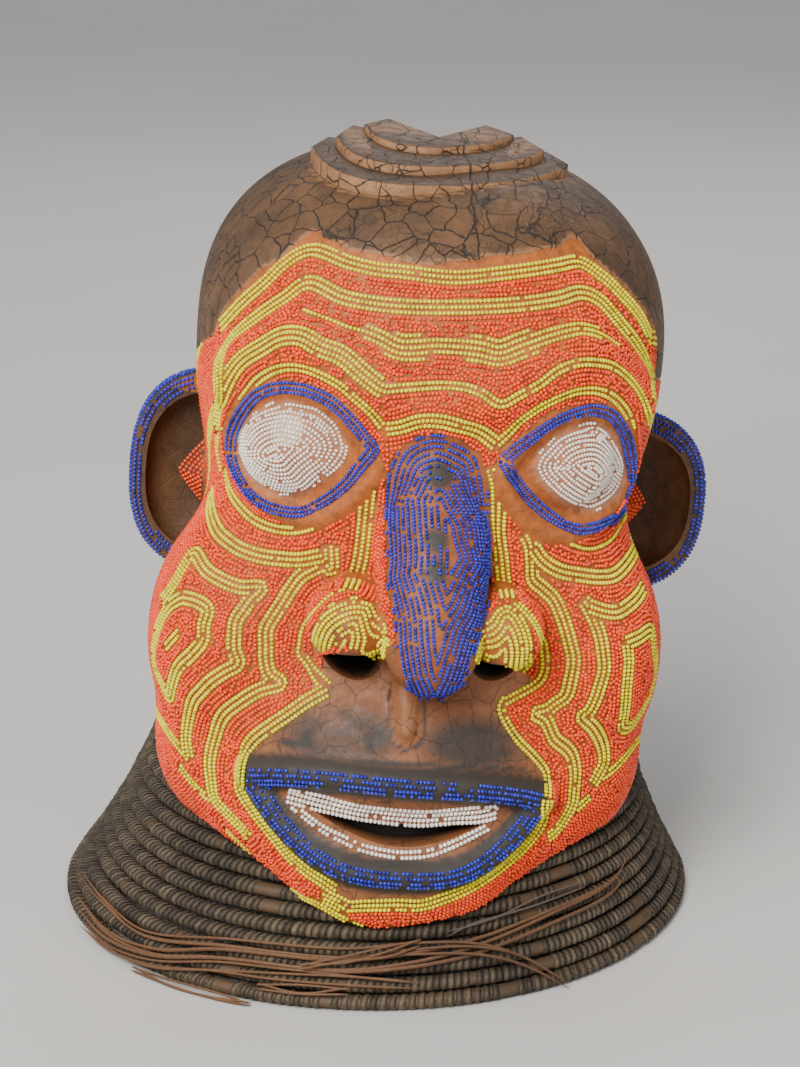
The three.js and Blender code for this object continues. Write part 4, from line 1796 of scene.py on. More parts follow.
@dataclass
class LooseSplints:
    """Strips of cane that have come away from the basketwork."""

    collar: BasketCollar
    sweep: Sweep
    finish: CaneFinish = CaneFinish("splint", Colour(112, 76, 46), Colour(152, 110, 70), Colour(60, 40, 26))
    grey: CaneFinish = CaneFinish(
        "splint_grey", Colour(92, 82, 74), Colour(130, 118, 104), Colour(52, 44, 40)
    )
    strips: tuple[Splint, ...] = (
        Splint("long", 3.0, 1.5, (
            (-80, 17, 3), (-65, 18, 3), (-50, 16, 3), (-32, 23, 3), (-9, 25, 3),
            (2, 27.5, 3.5), (14, 27, 7), (23, 18, 4), (31, 3, 3.5),
        )),
        Splint("broad", 4.2, 1.7, (
            (-74, 10.5, 4), (-58, 9, 4), (-45, 11.5, 4), (-33, 18, 3.5), (-10, 20, 3.5),
            (2, 22.5, 3.5), (14, 26, 3), (30, 32, 3), (48, 35, 3), (56, 41, 3),
        )),
        Splint("under", 2.8, 1.4, (
            (-68, 5.5, 3), (-56, 4.5, 3), (-45, 6.5, 3), (-32, 13, 3), (-22, 15, 3), (-9, 15.5, 3),
            (4, 13, 3),
        )),
        Splint("crossing", 2.6, 1.4, ((-17, 21, 8), (-9, 25, 8.5), (-2, 28.5, 8), (4, 31.5, 6))),
        Splint("grey", 2.4, 1.3, ((9, 32, 3), (14, 35, 3), (20, 37.5, 3), (28, 40, 3), (40, 40, 3))),
        Splint("low", 2.6, 1.3, ((-24, 9.5, 3), (-16, 9.5, 3), (-8, 11, 3))),
        Splint("edge", 2.6, 1.3, ((-49, 2.2, 3), (-40, 1.8, 3), (-31, 1.6, 3), (-24, 1.6, 3))),
    )
    step: float = 4.0
    split: float = 2.5
    narrow: float = 0.5
    waver: float = 1.1
    bends: float = 6.0
    out_of_step: float = 2.3
    tip: float = 14.0
    least: float = 0.25
    plump: float = 1.3

    def strands(self, strip: Splint) -> list[Array]:
        """The middle lines of the strands that a strip has split into: they part and cross.

        Args:
            strip: The strip.

        Returns:
            The lines, in the mask frame.
        """
        path = np.array(strip.path, float)
        count = 3 if strip.width > self.split else 2
        share = np.linspace(0, 1, len(path))
        found = []
        for number in range(count):
            aside = (number - (count - 1) / 2) * strip.width * self.narrow
            aside += self.waver * np.sin(self.bends * share + self.out_of_step * number)
            moved = path.copy()
            moved[:, 1] = np.maximum(path[:, 1] + aside, strip.width * self.narrow)
            found.append(spline(self.collar.place(moved), self.step))
        return found

    def build(self) -> list[bpy.types.Object]:
        """Makes each strip in place of its plain solid.

        Returns:
            The pieces.
        """
        brown, grey = self.finish.make(), self.grey.make()
        pieces = []
        for strip in self.strips:
            lines = self.strands(strip)
            shares = [np.linspace(0, 1, len(line)) for line in lines]
            tapers = [np.clip(np.minimum(share, 1 - share) * self.tip, self.least, 1) for share in shares]
            piece = self.sweep.along(
                f"strip_{strip.name}",
                [self.collar.stance.mask_to_metres(line) for line in lines],
                tapers,
                grey if strip.name == "grey" else brown,
                strip.width * self.narrow * METRES,
                strip.thickness * self.narrow * METRES * self.plump,
            )
            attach(piece, BODY)
            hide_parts(f"splint_{strip.name}")
            pieces.append(piece)
        return pieces


# Beads: where the rows run


class Hue(Enum):
    """The colours of the beads."""

    RED = "red"
    YELLOW = "yellow"
    BLUE = "blue"
    WHITE = "white"


@dataclass(frozen=True)
class Band:
    """A stripe of beads: its middle line in pixels of the photograph, and its number of rows."""

    rows: float | tuple[float, ...]
    line: Pixels
    hue: Hue = Hue.YELLOW


@dataclass(frozen=True)
class SideBand:
    """A stripe out of the photograph's sight, in degrees from the front and heights."""

    rows: int
    line: Pixels


@dataclass
class Row:
    """One string of beads over the surface."""

    line: Array
    hue: Hue
    pitch: float = 1.95
    lost: float = LOST
    size: float = 1.0
    lift: float = 0.0


@dataclass
class Course:
    """A stripe on the surface: its middle line, and how many rows it has along it."""

    middle: Array
    counts: Array
    hue: Hue
    pitch: float
    lost: float
    size: float = 1.0


@dataclass(frozen=True)
class Worn:
    """A patch where beads are lost: its middle and reach in pixels, and the share that is lost."""

    x: float
    y: float
    reach: float
    lost: float


BANDS = (
    Band(3, (
        (219, 326), (240, 303), (266, 280), (280, 266), (298, 253), (314, 249), (350, 262),
        (380, 269), (400, 271), (440, 276), (460, 277), (500, 273), (540, 267.5), (560, 264),
        (580, 261), (600, 273), (610, 281), (620, 291), (640, 314), (653, 340),
    )),
    Band(3, (
        (217, 400), (217, 365), (228, 340), (260, 313), (284, 297), (308, 282), (340, 296),
        (360, 301), (400, 306), (460, 307), (520, 304), (560, 298), (582, 292), (600, 299),
        (620, 321), (640, 347), (651, 370), (656, 400),
    )),
    Band((1, 1, 1.2, 2.5, 4, 5, 4, 4.6, 6.2, 5, 4, 3, 3, 2.5, 1), (
        (301, 308), (330, 319), (350, 327), (365, 331), (382, 338), (400, 347), (440, 346),
        (480, 349), (500, 353), (520, 346), (545, 337), (565, 331), (583, 328), (602, 333),
        (622, 346),
    )),
    Band((4,) * 11 + (3.4,) + (3,) * 15, (
        (217, 430), (218, 400), (228, 376), (240, 360), (260, 347), (280, 336), (300, 336),
        (320, 347), (341, 355), (360, 371), (372, 381), (384, 389), (400, 388), (440, 385),
        (465, 387), (482, 393), (501, 405), (520, 396), (540, 385), (560, 370), (580, 363),
        (600, 363), (614, 366), (630, 378), (642, 394), (650, 415), (653, 440),
    )),
    Band(2, (
        (221, 432), (238, 404), (258, 380), (280, 369), (300, 369), (320, 376), (340, 387),
        (355, 400), (372, 415), (384, 430),
    )),
    Band(3, ((384, 430), (400, 428), (420, 422), (440, 422), (460, 427), (480, 433), (497, 445))),
    Band(2, (
        (497, 445), (510, 433), (520, 423), (540, 409), (560, 399), (580, 392), (600, 392),
        (615, 399), (628, 414), (634, 432), (636, 450),
    )),
    Band(2, ((217, 432), (216, 450), (220, 470))),
    Band(2, (
        (224, 470), (229, 492), (240, 508), (255, 521), (275, 529), (295, 531), (315, 527),
        (330, 520), (345, 512), (355, 503),
    )),
    Band(1, (
        (520, 512), (535, 525), (552, 537), (570, 545), (590, 549), (600, 547), (612, 540),
        (622, 525), (630, 508), (636, 490),
    )),
    Band(3, ((379, 468), (372, 485), (367, 505), (364, 530), (361, 555), (356, 575), (350, 588))),
    Band(1, (
        (345, 588), (330, 594), (318, 605), (308, 617), (301, 632), (299, 645), (298, 655),
        (306, 665), (314, 680), (320, 687),
    )),
    Band(1, ((306, 655), (313, 666), (324, 677), (331, 684))),
    Band(3, ((493, 468), (497, 485), (499, 510), (499, 535), (502, 560), (504, 580), (508, 597))),
    Band(2, (
        (516, 601), (528, 612), (538, 626), (543, 641), (545, 656), (545, 669), (541, 680),
        (531, 688), (520, 694), (505, 702),
    )),
    Band(3, (
        (211, 488), (209, 505), (212, 520), (218, 532), (228, 541), (240, 549), (260, 556),
        (280, 559), (300, 560), (322, 556),
    )),
    Band(3, (
        (331, 547), (331, 571), (325, 565), (310, 571), (300, 577), (290, 590), (282, 603),
        (273, 617), (266, 630), (266, 645), (266, 660), (270, 675), (281, 683), (260, 690),
        (240, 702), (222, 717), (214, 738), (209, 760), (210, 780), (214, 800), (225, 813),
        (237, 825), (248, 838),
    )),
    Band(3, (
        (161, 600), (173, 583), (183, 565), (193, 552), (205, 569), (220, 579), (240, 587),
        (261, 588), (250, 600), (243, 610), (236, 620), (234, 635), (234, 650), (238, 664),
        (225, 672), (210, 682), (200, 692), (193, 700), (188, 716), (185, 740), (188, 759),
    )),
    Band(2, ((146, 665), (150, 692), (156, 712), (165, 729), (177, 746), (188, 759))),
    Band(2, ((178, 766), (190, 782), (205, 797), (214, 802))),
    Band(2, (
        (225, 830), (245, 850), (262, 868), (280, 882), (300, 897), (320, 907), (345, 921),
        (362, 928), (382, 935), (400, 931), (412, 928),
    )),
    Band(3, (
        (181, 597), (196, 601), (207, 609), (203, 625), (202, 640), (190, 655), (177, 668),
        (171, 685), (168, 697), (160, 682), (153, 662), (154, 640), (159, 622), (168, 606),
        (181, 597),
    )),
    Band(2, ((164, 648), (171, 640), (178, 632))),
    Band(3, (
        (326, 690), (305, 702), (288, 714), (270, 726), (252, 740), (242, 755), (238, 770),
        (238, 785), (243, 797), (259, 820), (273, 838), (292, 860), (308, 873), (325, 884),
        (337, 893),
    )),
    Band(4, ((322, 897), (334, 902), (345, 908))),
    Band(3, (
        (345, 908), (360, 907), (400, 906), (420, 906.5), (440, 901), (460, 893), (478, 884),
        (500, 869), (520, 852), (533, 838), (541, 826), (547, 812), (549, 800),
    )),
    Band(2, (
        (549, 800), (549, 785), (547, 772), (540, 762), (531, 752), (521, 742), (512, 730),
        (505, 718), (502, 708), (507, 698), (520, 691), (533, 685),
    )),
    Band(3, (
        (535, 549), (545, 562), (560, 571), (580, 575), (600, 577), (615, 575), (628, 563),
        (636, 548), (639, 530),
    )),
    Band(3, (
        (526, 535), (531, 545), (533, 565), (534, 580), (545, 590), (555, 600), (562, 615),
        (567, 630), (571, 645), (574, 660), (571, 680), (566, 697), (556, 704), (547, 711),
        (536, 714), (546, 720), (556, 740), (566, 748), (572, 755), (576, 770), (575, 790),
        (573, 805), (567, 817), (558, 830), (549, 838),
    )),
    Band(3, ((590, 606), (605, 611), (618, 612), (630, 605), (640, 595), (645, 585))),
    Band(3, (
        (584, 600), (588, 606), (595, 620), (601, 636), (604, 654), (605, 670), (601, 685),
        (596, 700), (589, 713), (583, 717), (595, 730), (603, 745), (605, 762), (599, 775),
        (594, 784),
    )),
    Band(2, ((590, 798), (575, 812))),
    Band(2, ((640, 738), (627, 756), (615, 769), (600, 780))),
    Band(3, (
        (628, 643), (641, 637), (652, 630), (655, 650), (657, 665), (655, 680), (650, 697),
        (641, 714), (630, 728), (624, 728), (626, 710), (628, 685), (630, 660), (628, 643),
    )),
)
SIDE_BANDS = (
    SideBand(3, (
        (-63, 296), (-72, 284), (-79, 266), (-81, 240), (-80, 205), (-81, 178), (-84, 150), (-84, 120),
        (-80, 96),
    )),
    SideBand(3, (
        (-53, 266), (-59, 252), (-66, 230), (-70, 205), (-70, 180), (-72, 150), (-71, 125), (-65, 104),
        (-58, 92),
    )),
    SideBand(2, ((-97, 150), (-99, 125), (-95, 98))),
    SideBand(3, ((57, 306), (66, 300), (76, 286), (84, 270))),
    SideBand(3, (
        (51, 282), (60, 274), (70, 262), (77, 245), (80, 215), (81, 178), (84, 150), (84, 120),
        (80, 96),
    )),
    SideBand(3, (
        (66, 253), (69, 235), (70, 210), (69, 180), (71, 150), (70, 125), (65, 104), (58, 92),
    )),
    SideBand(2, ((97, 150), (99, 125), (95, 98))),
)
EYE_RINGS = (
    Band(3, (
        (229, 452), (231, 435), (237, 420), (245, 407), (254, 397), (265, 391), (278, 388),
        (290, 388), (303, 390), (316, 395), (328, 401), (340, 411), (350, 421), (359, 431),
        (367, 441), (374, 449), (367, 458), (358, 468), (350, 479), (340, 489), (328, 498),
        (315, 505), (300, 511), (285, 511), (270, 508), (256, 501), (246, 492), (238, 480),
        (232, 466), (229, 452),
    ), Hue.BLUE),
    Band((3,) * 14 + (2,) * 6 + (3,) * 10, (
        (506, 459), (515, 451), (525, 444), (537, 436), (550, 427), (562, 420), (575, 415),
        (590, 411), (603, 412), (614, 417), (622, 428), (628, 441), (631, 455), (633, 468),
        (634, 482), (632, 494), (627, 505), (619, 515), (610, 522), (598, 527), (583, 529),
        (570, 526), (557, 520), (545, 512), (533, 502), (523, 490), (514, 477), (508, 467),
        (505, 463), (506, 459),
    ), Hue.BLUE),
)
EYE_WHITES = (
    (
        (238, 450), (240, 430), (247, 418), (258, 408), (270, 402), (285, 399), (300, 402),
        (315, 407), (328, 416), (338, 426), (345, 438), (348, 450), (344, 462), (335, 473),
        (322, 482), (308, 494), (290, 497), (272, 496), (258, 490), (245, 478), (238, 465),
    ),
    (
        (531, 468), (536, 455), (545, 445), (555, 435), (568, 428), (583, 424), (600, 424),
        (612, 430), (620, 440), (626, 455), (628, 470), (625, 485), (618, 498), (606, 508),
        (590, 514), (572, 509), (556, 500), (545, 490), (537, 481),
    ),
)
NOSE = (
    (385, 560), (383, 520), (386, 480), (392, 460), (402, 445), (420, 436), (440, 434), (462, 440),
    (480, 452), (488, 475), (492, 510), (493, 560), (492, 600), (485, 625), (478, 650), (470, 675),
    (462, 690), (445, 701), (420, 701), (405, 692), (398, 675), (394, 650), (392, 620), (388, 600),
    (384, 580),
)
NOSE_EDGE = (*NOSE[19:], *NOSE[:17])
LEFT_WING = (
    (318, 655), (311, 650), (309, 630), (318, 612), (335, 600), (355, 595), (375, 600), (385, 615),
    (389, 640), (385, 660), (375, 663), (360, 655), (345, 648), (330, 650),
)
RIGHT_WING = (
    (474, 660), (476, 635), (487, 612), (505, 600), (522, 607), (533, 625), (537, 645), (533, 665),
    (523, 676), (507, 670), (495, 660), (480, 668),
)
MOUTH = (
    (326, 690), (305, 702), (288, 714), (270, 726), (252, 740), (242, 755), (238, 770), (238, 785),
    (243, 797), (259, 820), (273, 838), (292, 860), (308, 873), (325, 884), (345, 908), (400, 906),
    (420, 906.5), (440, 901), (460, 893), (478, 884), (500, 869), (520, 852), (533, 838),
    (541, 826), (547, 812), (549, 785), (547, 772), (540, 762), (531, 752), (521, 742), (512, 730),
    (505, 718), (502, 708), (507, 698), (520, 691), (533, 685), (520, 660), (430, 640), (320, 655),
)
HAIRLINE = (
    (213, 335), (219, 318), (228, 303), (240, 290), (262, 268), (275, 262), (290, 248), (300, 239),
    (313, 231), (325, 238), (340, 245), (360, 252), (380, 256), (430, 264), (500, 256), (540, 251),
    (563, 246), (570, 238), (580, 240), (590, 253), (605, 268), (620, 281), (635, 297), (648, 315),
    (655, 330), (657, 345), (655, 380),
)
HAIRLINE_LEFT = ((-104, 8), (-106, 150), (-104, 235), (-93, 258), (-82, 273))
HAIRLINE_RIGHT = ((72, 280), (84, 268), (93, 258), (104, 235), (106, 150), (104, 8))
TEETH = (
    Band(4, (
        (287, 795), (320, 804), (354, 812), (383, 816), (403, 818), (424, 819), (454, 817),
        (480, 815), (498, 811),
    ), Hue.WHITE),
    Band(2, (
        (287, 801), (305, 817), (325, 831), (340, 838), (360, 847), (385, 853), (400, 855),
        (430, 853), (450, 846), (470, 837), (490, 827),
    ), Hue.WHITE),
)
WORN_PATCHES = (
    Worn(440, 475, 20, 0.75),
    Worn(437, 540, 17, 0.7),
    Worn(436, 572, 17, 0.7),
    Worn(328, 785, 12, 0.8),
    Worn(440, 785, 14, 0.85),
    Worn(462, 787, 12, 0.85),
    Worn(287, 430, 15, 0.2),
    Worn(340, 632, 14, 0.4),
)
STAINS = (Worn(342, 735, 78, 1.0), Worn(474, 744, 70, 0.95), Worn(420, 692, 36, 0.4))
CHIPS = (
    Worn(160, 402, 11, 0.9),
    Worn(170, 418, 7, 0.8),
    Worn(145, 512, 5, 0.9),
    Worn(287, 430, 17, 0.9),
    Worn(245, 438, 9, 0.8),
)
GROOVE = ((283, 741), (310, 748), (350, 757), (395, 763), (440, 767), (485, 768), (525, 770))


@dataclass
class Skin:
    """The head's surface, which rows of beads are laid on. All places are in the head's frame."""

    form: HeadForm
    photograph: Photograph
    grid: Array
    angles: Array
    reach_of_columns: float = 112.0
    in_front: float = 350.0
    behind: float = 60.0
    close: float = 0.02
    stride: float = 0.6
    least_stride: float = 0.05
    dome_radius: float = 110.0
    shape: tuple[int, int] = (0, 0)
    faces: Array = field(init=False)
    points: Array = field(init=False)

    def __post_init__(self) -> None:
        """Takes the part of the grid that can carry beads, and cuts its cells into triangles."""
        turned = (np.degrees(self.angles) + 180) % 360 - 180
        order = np.argsort(turned)
        kept = order[np.abs(turned[order]) < self.reach_of_columns]
        part = self.grid[:, kept]
        self.shape = part.shape[:2]
        self.points = part.reshape(-1, 3)
        quads = grid_faces(*self.shape, False)
        self.faces = np.concatenate([quads[:, [0, 1, 2]], quads[:, [0, 2, 3]]])

    def round_and_up(self, points: Array) -> Array:
        """Places as degrees from the front and heights."""
        angle = np.degrees(np.arctan2(points[:, 0], self.form.axis_y - points[:, 1]))
        return np.stack([angle, points[:, 2]], 1)

    def under_pixels(self, pixels: Array, steps: int = 150) -> Array:
        """The places on the surface that pixels of the photograph show.

        Args:
            pixels: Pixels, one a row.
            steps: The most steps taken along a line of sight.

        Returns:
            The places, or for a line of sight that misses the head, the nearest ones.
        """
        start, directions = self.photograph.sight_lines(np.asarray(pixels, float))
        along = np.full(len(directions), self.photograph.distance - self.in_front)
        lowest, best = np.full(len(directions), np.inf), along.copy()
        active = np.arange(len(directions))
        for _ in range(steps):
            if not len(active):
                break
            gap = self.form.surface(start + directions[active] * along[active, None])
            closer = active[gap < lowest[active]]
            lowest[active] = np.minimum(lowest[active], gap)
            best[closer] = along[closer]
            away = (gap > self.close) & (along[active] < self.photograph.distance + self.behind)
            active = active[away]
            along[active] += np.maximum(self.stride * gap[away], self.least_stride)
        return self.form.settle(start + directions * best[:, None], 3)

    def under_angles(self, places: Array) -> Array:
        """The places on the surface at degrees from the front and heights.

        Args:
            places: Angle and height, one place a row.

        Returns:
            The places on the surface.
        """
        turn = np.radians(places[:, 0])
        starts = np.stack([0 * turn, np.full(len(turn), self.form.axis_y), places[:, 1]], 1)
        over = starts[:, 2] > self.form.dome_start
        directions = np.stack([np.sin(turn), -np.cos(turn), 0 * turn], 1)
        starts[over, 2] = self.form.dome_start
        lift = np.arctan2(places[:, 1] - starts[:, 2], self.dome_radius)
        directions = directions * np.cos(lift)[:, None]
        directions[:, 2] = np.sin(lift)
        reach = self.form.reach(self.form.surface, starts, directions)
        return starts + directions * reach[:, None]

    def chains(self, values: Array, level: float) -> list[Array]:
        """The lines over the surface where a value crosses a level.

        Args:
            values: A number at each of the skin's points.
            level: The level.

        Returns:
            Lines of places, one array each.
        """
        corners = values[self.faces]
        above = corners > level
        count = above.sum(1)
        crossed = ((count == 1) | (count == 2)) & np.isfinite(corners).all(1)
        faces, above = self.faces[crossed], above[crossed]
        if not len(faces):
            return []
        odd = np.where(count[crossed] == 1, above.argmax(1), (~above).argmax(1))
        rows = np.arange(len(faces))
        ends = []
        for step in (1, 2):
            a, b = faces[rows, odd], faces[rows, (odd + step) % 3]
            ends.append(np.minimum(a, b) * len(self.points) + np.maximum(a, b))
        keys, links = np.unique(np.stack(ends, 1), return_inverse=True)
        links = links.reshape(-1, 2)
        low, high = keys // len(self.points), keys % len(self.points)
        share = ((level - values[low]) / (values[high] - values[low]))[:, None]
        places = self.points[low] * (1 - share) + self.points[high] * share
        beside: dict[int, list[int]] = defaultdict(list)
        for a, b in links.tolist():
            beside[a].append(b)
            beside[b].append(a)
        found, used = [], set()
        starts = [key for key in beside if len(beside[key]) == 1]
        for start in [*starts, *beside]:
            if start in used:
                continue
            chain, here = [start], start
            used.add(start)
            while True:
                ahead = [key for key in beside[here] if key not in used]
                if not ahead:
                    break
                here = ahead[0]
                used.add(here)
                chain.append(here)
            if len(beside[start]) == 2 and len(chain) > 2 and start in beside[here]:
                chain.append(start)
            found.append(places[chain])
        return found


@dataclass
class BeadBed:
    """Beads that have found a place, with a rough map of where they are."""

    form: HeadForm
    stance: Stance
    rng: np.random.Generator
    apart: float = 1.85
    apart_in_row: float = 1.6
    apart_alone: float = 1.5
    cell: float = 2.3
    raised: float = -0.65
    worn: Field | None = None
    beads: dict[Hue, list[tuple]] = field(default_factory=lambda: defaultdict(list))
    near: dict[tuple[int, int, int], list[tuple]] = field(default_factory=lambda: defaultdict(list))
    rows_laid: int = 0

    def free(self, place: tuple[float, float, float], row: int, index: int, apart: float) -> bool:
        """Tells whether a bead fits at a place.

        Args:
            place: The place.
            row: The number of the bead's row.
            index: Its number along the row.
            apart: How far away beads of other rows have to be.

        Returns:
            Whether every other bead is far enough away.
        """
        x, y, z = place
        i, j, k = (math.floor(value / self.cell) for value in place)
        for a in (i - 1, i, i + 1):
            for b in (j - 1, j, j + 1):
                for c in (k - 1, k, k + 1):
                    for px, py, pz, other, number in self.near.get((a, b, c), ()):
                        gap = apart
                        if other == row:
                            if abs(number - index) < 2:
                                continue
                            gap = self.apart_in_row
                        if (px - x) ** 2 + (py - y) ** 2 + (pz - z) ** 2 < gap * gap:
                            return False
        return True

    def lay(self, rows: Sequence[Row], keep: Field) -> None:
        """Strings beads along rows, in order, where nothing is in the way.

        Args:
            rows: The rows.
            keep: Tells which places may carry a bead.
        """
        steps = [row.pitch * row.size for row in rows]
        lines = [resample(row.line, step, self.rng.uniform(0, step)) for row, step in zip(rows, steps)]
        pairs = [(row, line) for row, line in zip(rows, lines) if len(line) > 1]
        if not pairs:
            return
        points = self.form.settle(np.concatenate([line for _, line in pairs]), 2)
        normals = self.form.normals(points)
        kept = keep(points)
        start = 0
        for row, line in pairs:
            part = slice(start, start + len(line))
            start = part.stop
            self.string(row, points[part], normals[part], kept[part])

    def string(self, row: Row, at: Array, up: Array, fits: Array) -> None:
        """Places one row's beads.

        Args:
            row: The row.
            at: The beads' places.
            up: The outward directions there.
            fits: Which of the places may carry a bead.
        """
        along = unit(np.gradient(at, axis=0))
        self.rows_laid += 1
        share = np.full(len(at), row.lost) if self.worn is None else np.maximum(row.lost, self.worn(at))
        lost = self.rng.random(len(at)) < share
        for index in range(len(at)):
            how = at[index] + up[index] * row.lift, up[index], along[index], row.size
            self.set_bead(row.hue, how, index, fits[index], lost[index])

    def set_bead(
        self, hue: Hue, how: tuple, index: int, fits: bool, lost: bool, apart: float | None = None
    ) -> None:
        """Sets one bead, if it fits and isn't lost.

        Args:
            hue: Its colour.
            how: Its place, its outward direction, the way that its row runs and its size.
            index: Its number along the row.
            fits: Whether it may be there at all.
            lost: Whether its place stays bare.
            apart: How far away beads of other rows have to be, where it isn't the usual length.
        """
        at, up, along, size = how
        place = tuple(at.tolist())
        if not fits or not self.free(place, self.rows_laid, index, apart or self.apart):
            return
        cell = tuple(math.floor(value / self.cell) for value in place)
        self.near[cell].append((*place, self.rows_laid, index))
        if not lost:
            self.beads[hue].append((at + up * self.raised, up, along, size))

    def places(self, hue: Hue) -> Places:
        """The beads of one colour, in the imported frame.

        Args:
            hue: The colour.

        Returns:
            Where the beads go.
        """
        at, up, along, size = (np.array([bead[i] for bead in self.beads[hue]]) for i in range(4))
        turned = self.stance.turn_to_mask(up), self.stance.turn_to_mask(along)
        return Places(self.stance.head_to_metres(at), *turned, size[:, None] * np.ones(3))


@dataclass
class BeadPattern:
    """The pattern of the face: stripes, red fields between them, eyes, nose, lips and ears.

    Lengths are in millimetres. A degree round the head is about as long as the field of that name.
    """

    form: HeadForm
    skin: Skin
    bed: BeadBed
    collar: BasketCollar
    stance: Stance
    pitch: float = 2.75
    red_pitch: float = 2.2
    step: float = 1.2
    trace: float = 2.5
    face_front: float = -50.0
    eye_front: float = -40.0
    eye_corners: int = 48
    rear: float = 0.0
    degree: float = 1.9
    fade: float = 2.4
    tab: float = 7.0
    # how wide the painted shadow round the philtrum's tab is
    tab_edge: float = 1.6
    tab_top: float = 150.0
    # how wide the painted shade of the carved groove is
    groove: float = 2.2
    eye_gap: float = 4.5
    ear_gap: float = 1.5
    collar_gap: float = 2.6
    collar_top_gap: float = 2.0
    finer: float = 0.25
    shown: float = 0.3
    own_side: float = 0.86
    slack: float = 0.2
    narrowest: float = 0.4
    patch_reach: float = 0.8
    most_rows: int = 14
    fit: float = 0.53
    off_middle: float = 0.12
    inner_reach: float = 130.0
    eye_pitch: float = 2.35
    white_pitch: float = 2.2
    eye_dust: float = 0.15
    nose_pitch: float = 2.6
    wing_pitch: float = 2.5
    ear_pitch: float = 2.1
    ear_root: float = 1.2
    dish_gap: float = 0.7
    lobe_root: float = 0.6
    lip_rows: float = 4.0
    lip_pitch: float = 3.05
    rim_rows: tuple[tuple[float, float], ...] = (
        (1.3, 0), (3.75, 0), (6.2, 0), (8.7, 0), (0, 2), (0, 4.5), (0, 7), (0, 9.5),
    )
    courses: list[Course] = field(default_factory=list)
    laid: Array = field(default_factory=lambda: np.empty((0, 3)))
    bound: Array = field(init=False)

    def __post_init__(self) -> None:
        """Finds the edge of the hair, as degrees from the front and heights."""
        traced = self.skin.round_and_up(self.skin.under_pixels(spline(np.array(HAIRLINE), 6)))
        ends = np.array(HAIRLINE_LEFT), np.array(HAIRLINE_RIGHT)
        self.bound = np.concatenate([ends[0], traced, ends[1]])
        self.bed.worn = self.worn

    def worn(self, points: Array) -> Array:
        """The share of beads that are lost at each place.

        Args:
            points: Places, one a row.

        Returns:
            A share for each place.
        """
        pixels = self.skin.photograph.pixels(points)
        share = np.zeros(len(points))
        for patch in WORN_PATCHES:
            away = np.linalg.norm(pixels - [patch.x, patch.y], axis=1) / patch.reach
            share = np.maximum(share, patch.lost * np.clip(2 - 2 * away, 0, 1))
        return np.where(points[:, 1] < self.face_front, share, 0)

    def on_face(self, points: Array) -> Array:
        """Tells which places lie below the hair."""
        return inside_polygon(self.skin.round_and_up(points), self.bound.tolist())

    def open_to_beads(self, points: Array) -> Array:
        """Tells which places are on the face and clear of the ears and the collar.

        Args:
            points: Places, one a row.

        Returns:
            True for each place that is.
        """
        clear = self.on_face(points)
        for ear in self.form.ears:
            outer = ear.outer()
            radii = tuple(r + self.ear_gap for r in outer.radii)
            grown = Swelling(outer.at, radii, square=outer.square)
            clear &= grown.distance(points) > 0
        stood = self.stance.head_to_mask(points)
        share = np.clip(stood[:, 2] / self.collar.height, 0, 1)
        out = np.hypot(stood[:, 0] - self.collar.lean * share, stood[:, 1])
        outside = out > self.collar.radius(stood[:, 2]) + self.collar_gap
        return clear & (outside | (stood[:, 2] > self.collar.height + self.collar_top_gap))

    def in_pixels(self, points: Array, corners: Pixels) -> Array:
        """Tells which places lie in front, inside an outline given in pixels."""
        inside = inside_polygon(self.skin.photograph.pixels(points), corners)
        return inside & (points[:, 1] < self.face_front)

    def in_eye(self, points: Array, grow: float) -> Array:
        """Tells which places lie within the eyelids' outlines, grown by a length.

        Args:
            points: Places, one a row.
            grow: How far the outlines are grown.

        Returns:
            True for each place inside.
        """
        found = np.zeros(len(points), bool)
        for eye in self.form.eyes:
            line = eye.outline(self.eye_corners)
            line = line + grow * unit(line - [eye.x, eye.z])
            inside = inside_polygon(points[:, [0, 2]], line.tolist())
            found |= inside & (points[:, 1] < self.eye_front)
        return found

    def for_stripes(self, points: Array) -> Array:
        """Tells which places may carry the stripes."""
        return self.open_to_beads(points) & ~self.in_eye(points, self.eye_gap)

    def for_red(self, points: Array) -> Array:
        """Tells which places may carry the red between the stripes.

        Args:
            points: Places, one a row.

        Returns:
            True for each place that may.
        """
        clear = self.for_stripes(points)
        for corners in (NOSE, LEFT_WING, RIGHT_WING, MOUTH):
            clear &= ~self.in_pixels(points, corners)
        return clear

    def traced(
        self, bands: Sequence[Band], pitch: float, lost: float = LOST, size: float = 1.0
    ) -> list[Course]:
        """Stripes that are traced over the photograph.

        Args:
            bands: The stripes.
            pitch: The distance between rows.
            lost: The share of beads that are missing.
            size: The size of the beads, against the usual one.

        Returns:
            The stripes on the surface.
        """
        fine = [spline(np.array(band.line, float), self.trace) for band in bands]
        cuts = np.cumsum([len(line) for line in fine])[:-1]
        places = np.split(self.skin.under_pixels(np.concatenate(fine)), cuts)
        found = []
        for band, flat, middle in zip(bands, fine, places):
            rows = np.broadcast_to(np.array(band.rows, float), len(band.line))
            along = lengths_along(flat)
            knots = [along[np.linalg.norm(flat - corner, axis=1).argmin()] for corner in band.line]
            if band.line[0] == band.line[-1]:
                knots[-1] = along[-1]
            even = resample(np.column_stack([middle, np.interp(along, knots, rows)]), self.step)
            found.append(Course(even[:, :3], even[:, 3], band.hue, pitch, lost, size))
        return found

    def hidden(self, bands: Sequence[SideBand]) -> list[Course]:
        """Stripes out of the photograph's sight, on the surface.

        Args:
            bands: The stripes.

        Returns:
            The stripes on the surface.
        """
        scale = np.array([self.degree, 1.0])
        found = []
        for band in bands:
            flat = spline(np.array(band.line, float) * scale, self.trace) / scale
            even = resample(self.skin.under_angles(flat), self.step)
            rows = np.full(len(even), float(band.rows))
            found.append(Course(even, rows, Hue.YELLOW, self.pitch, LOST))
        return found

